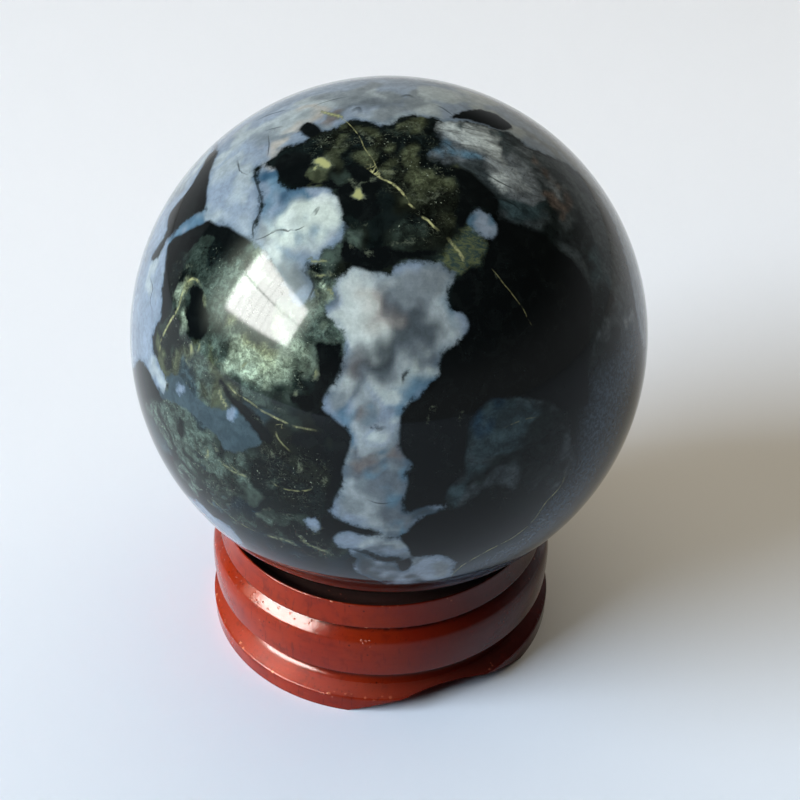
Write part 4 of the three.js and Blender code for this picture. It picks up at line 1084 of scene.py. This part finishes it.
def make_floor():
    g = Tree("pale floor with painted falloff")
    p = g.vmul(g.coords(), (1000.0, 1000.0, 1000.0))
    sep = g.new("ShaderNodeSeparateXYZ")
    g.put(sep.inputs[0], p)
    # painted light falloff: the floor is painted darker and bluer towards the front and the right, standing in for
    # light fading away from the lamps
    depth = g.add(g.mul(sep.outputs["Y"], 0.93), g.mul(sep.outputs["X"], -0.25))
    tone = g.mix(g.step(depth, -95.0, 85.0), srgb(214, 222, 233), srgb(241, 242, 246))
    g.shader(Base_Color=tone, Roughness=0.7, IOR=1.2)
    floor = add_mesh("floor", [(-0.7, -0.7, 0), (0.7, -0.7, 0), (0.7, 0.7, 0), (-0.7, 0.7, 0)], [(0, 1, 2, 3)])
    floor.data.materials.append(g.mat)


def lamp(name, at, facing, width, height, power, colour, sees="both", tilt=None):
    """A rectangular lamp at a place in metres from the ball's centre, facing a direction."""
    data = bpy.data.lights.new(name, "AREA")
    data.shape = "RECTANGLE"
    data.size, data.size_y = width, height
    data.energy = power
    data.color = colour
    ob = bpy.data.objects.new(name, data)
    bpy.context.scene.collection.objects.link(ob)
    z = -np.array(facing, float)
    z /= np.linalg.norm(z)
    x = np.array(tilt, float) if tilt is not None else np.cross([0, 0, 1.0], z)
    x = x - (x @ z) * z
    x /= np.linalg.norm(x)
    y = np.cross(z, x)
    m = Matrix.Identity(4)
    for i in range(3):
        m[i][0], m[i][1], m[i][2] = x[i], y[i], z[i]
        m[i][3] = at[i] + BALL_C[i]
    ob.matrix_world = m
    ob.visible_glossy = sees != "diffuse"
    ob.visible_diffuse = sees != "gloss"
    return ob


def window_card(middle, along, face, width, height):
    """A glowing card that only mirrors: a bright window with a soft halo round it."""
    g = Tree("window card")
    sep = g.new("ShaderNodeSeparateXYZ")
    g.put(sep.inputs[0], g.coords())
    x, y = sep.outputs["X"], sep.outputs["Y"]
    dx = g.sub(g.math("ABSOLUTE", x), width / 2)
    dy = g.sub(g.math("ABSOLUTE", y), height / 2)
    pane = g.mul(g.step(dx, -0.035, 0.02, 1.0, 0.0), g.step(dy, -0.03, 0.02, 1.0, 0.0))
    # a soft grid stretched over the pane: one long bar and a row of thin ones
    long_bar = g.step(g.math("ABSOLUTE", g.sub(y, 0.035)), 0.004, 0.010, 1.0, 0.0)
    thin = g.math("ABSOLUTE", g.sub(g.math("FRACT", g.math("DIVIDE", g.add(x, 10.0), 0.088)), 0.5))
    thin = g.step(thin, 0.030, 0.075, 1.0, 0.0)
    pane = g.mul(pane, g.sub(1.0, g.clamp(g.add(g.mul(long_bar, 0.78), g.mul(thin, 0.42)))))
    away = g.math("SQRT", g.add(g.math("POWER", g.math("MAXIMUM", dx, 0.0), 2.0), g.math("POWER", g.math("MAXIMUM", dy, 0.0), 2.0)))
    halo = g.math("POWER", g.step(away, 0.0, 0.40, 1.0, 0.0), 2.4)
    core = g.new("ShaderNodeEmission")
    core.inputs["Color"].default_value = (1.0, 1.0, 0.98, 1.0)
    g.put(core.inputs["Strength"], g.mul(pane, 56.0))
    ring = g.new("ShaderNodeEmission")
    ring.inputs["Color"].default_value = (0.86, 1.0, 0.84, 1.0)
    g.put(ring.inputs["Strength"], g.mul(halo, 13.0))
    both = g.new("ShaderNodeAddShader")
    g.t.links.new(core.outputs[0], both.inputs[0])
    g.t.links.new(ring.outputs[0], both.inputs[1])
    g.t.links.new(both.outputs[0], g.out.inputs["Surface"])
    w, h = width / 2 + 0.62, height / 2 + 0.62
    card = add_mesh("window_card", [(-w, -h, 0), (w, -h, 0), (w, h, 0), (-w, h, 0)], [(0, 1, 2, 3)])
    y_dir = np.cross(face, along)
    m = Matrix.Identity(4)
    for i in range(3):
        m[i][0], m[i][1], m[i][2] = along[i], y_dir[i], face[i]
        m[i][3] = middle[i] + BALL_C[i]
    card.matrix_world = m
    card.data.materials.append(g.mat)
    for sees in ("visible_camera", "visible_diffuse", "visible_shadow", "visible_transmission", "visible_volume_scatter"):
        setattr(card, sees, False)


def make_lights():
    # a window-like softbox low on the left, standing at a slant to the ball
    c = np.array([-0.786, -0.366, 0.498])
    c /= np.linalg.norm(c)
    rx = np.cross([0, 0, 1.0], c)
    rx /= np.linalg.norm(rx)
    up = np.cross(c, rx)
    near = 1.07 * c - 0.298 * rx
    far = 1.98 * c + 0.539 * rx
    middle = (near + far) / 2
    along = (far - near) / np.linalg.norm(far - near)
    face = np.cross(along, up)
    if face @ middle < 0:
        face = -face
    width = float(np.linalg.norm(far - near))
    edge = 1.56 * c + 0.52 * rx
    card_along = (edge - near) / np.linalg.norm(edge - near)
    card_face = np.cross(card_along, up)
    if card_face @ near < 0:
        card_face = -card_face
    window_card((near + edge) / 2, card_along, card_face, float(np.linalg.norm(edge - near)), 0.48)
    lamp("key", middle * 0.98, -face, width * 1.1, 0.60, 48.0, (0.72, 0.845, 0.98), "diffuse", along)
    # a wide soft lamp overhead
    lamp("overhead", (0.08, 0.20, 0.90), (-0.08, -0.20, -0.90), 1.2, 1.2, 5.8, (1.0, 0.87, 0.66), "diffuse")

    # a dim room, paler towards the horizon
    world = bpy.data.worlds.new("studio")
    world.use_nodes = True
    nt = world.node_tree
    where = nt.nodes.new("ShaderNodeTexCoord")
    split = nt.nodes.new("ShaderNodeSeparateXYZ")
    fade = nt.nodes.new("ShaderNodeMapRange")
    fade.interpolation_type = "SMOOTHERSTEP"
    fade.inputs["From Min"].default_value = -0.02
    fade.inputs["From Max"].default_value = 0.55
    fade.inputs["To Min"].default_value = 0.48
    fade.inputs["To Max"].default_value = 0.035
    nt.links.new(where.outputs["Generated"], split.inputs[0])
    nt.links.new(split.outputs["Z"], fade.inputs["Value"])
    back = nt.nodes["Background"]
    back.inputs["Color"].default_value = (0.92, 0.97, 1.0, 1.0)
    nt.links.new(fade.outputs["Result"], back.inputs["Strength"])
    world.cycles_visibility.diffuse = False
    bpy.context.scene.world = world
    bpy.context.scene.view_settings.view_transform = "Standard"


make_floor()
make_lights()
make_ball()
make_stand()
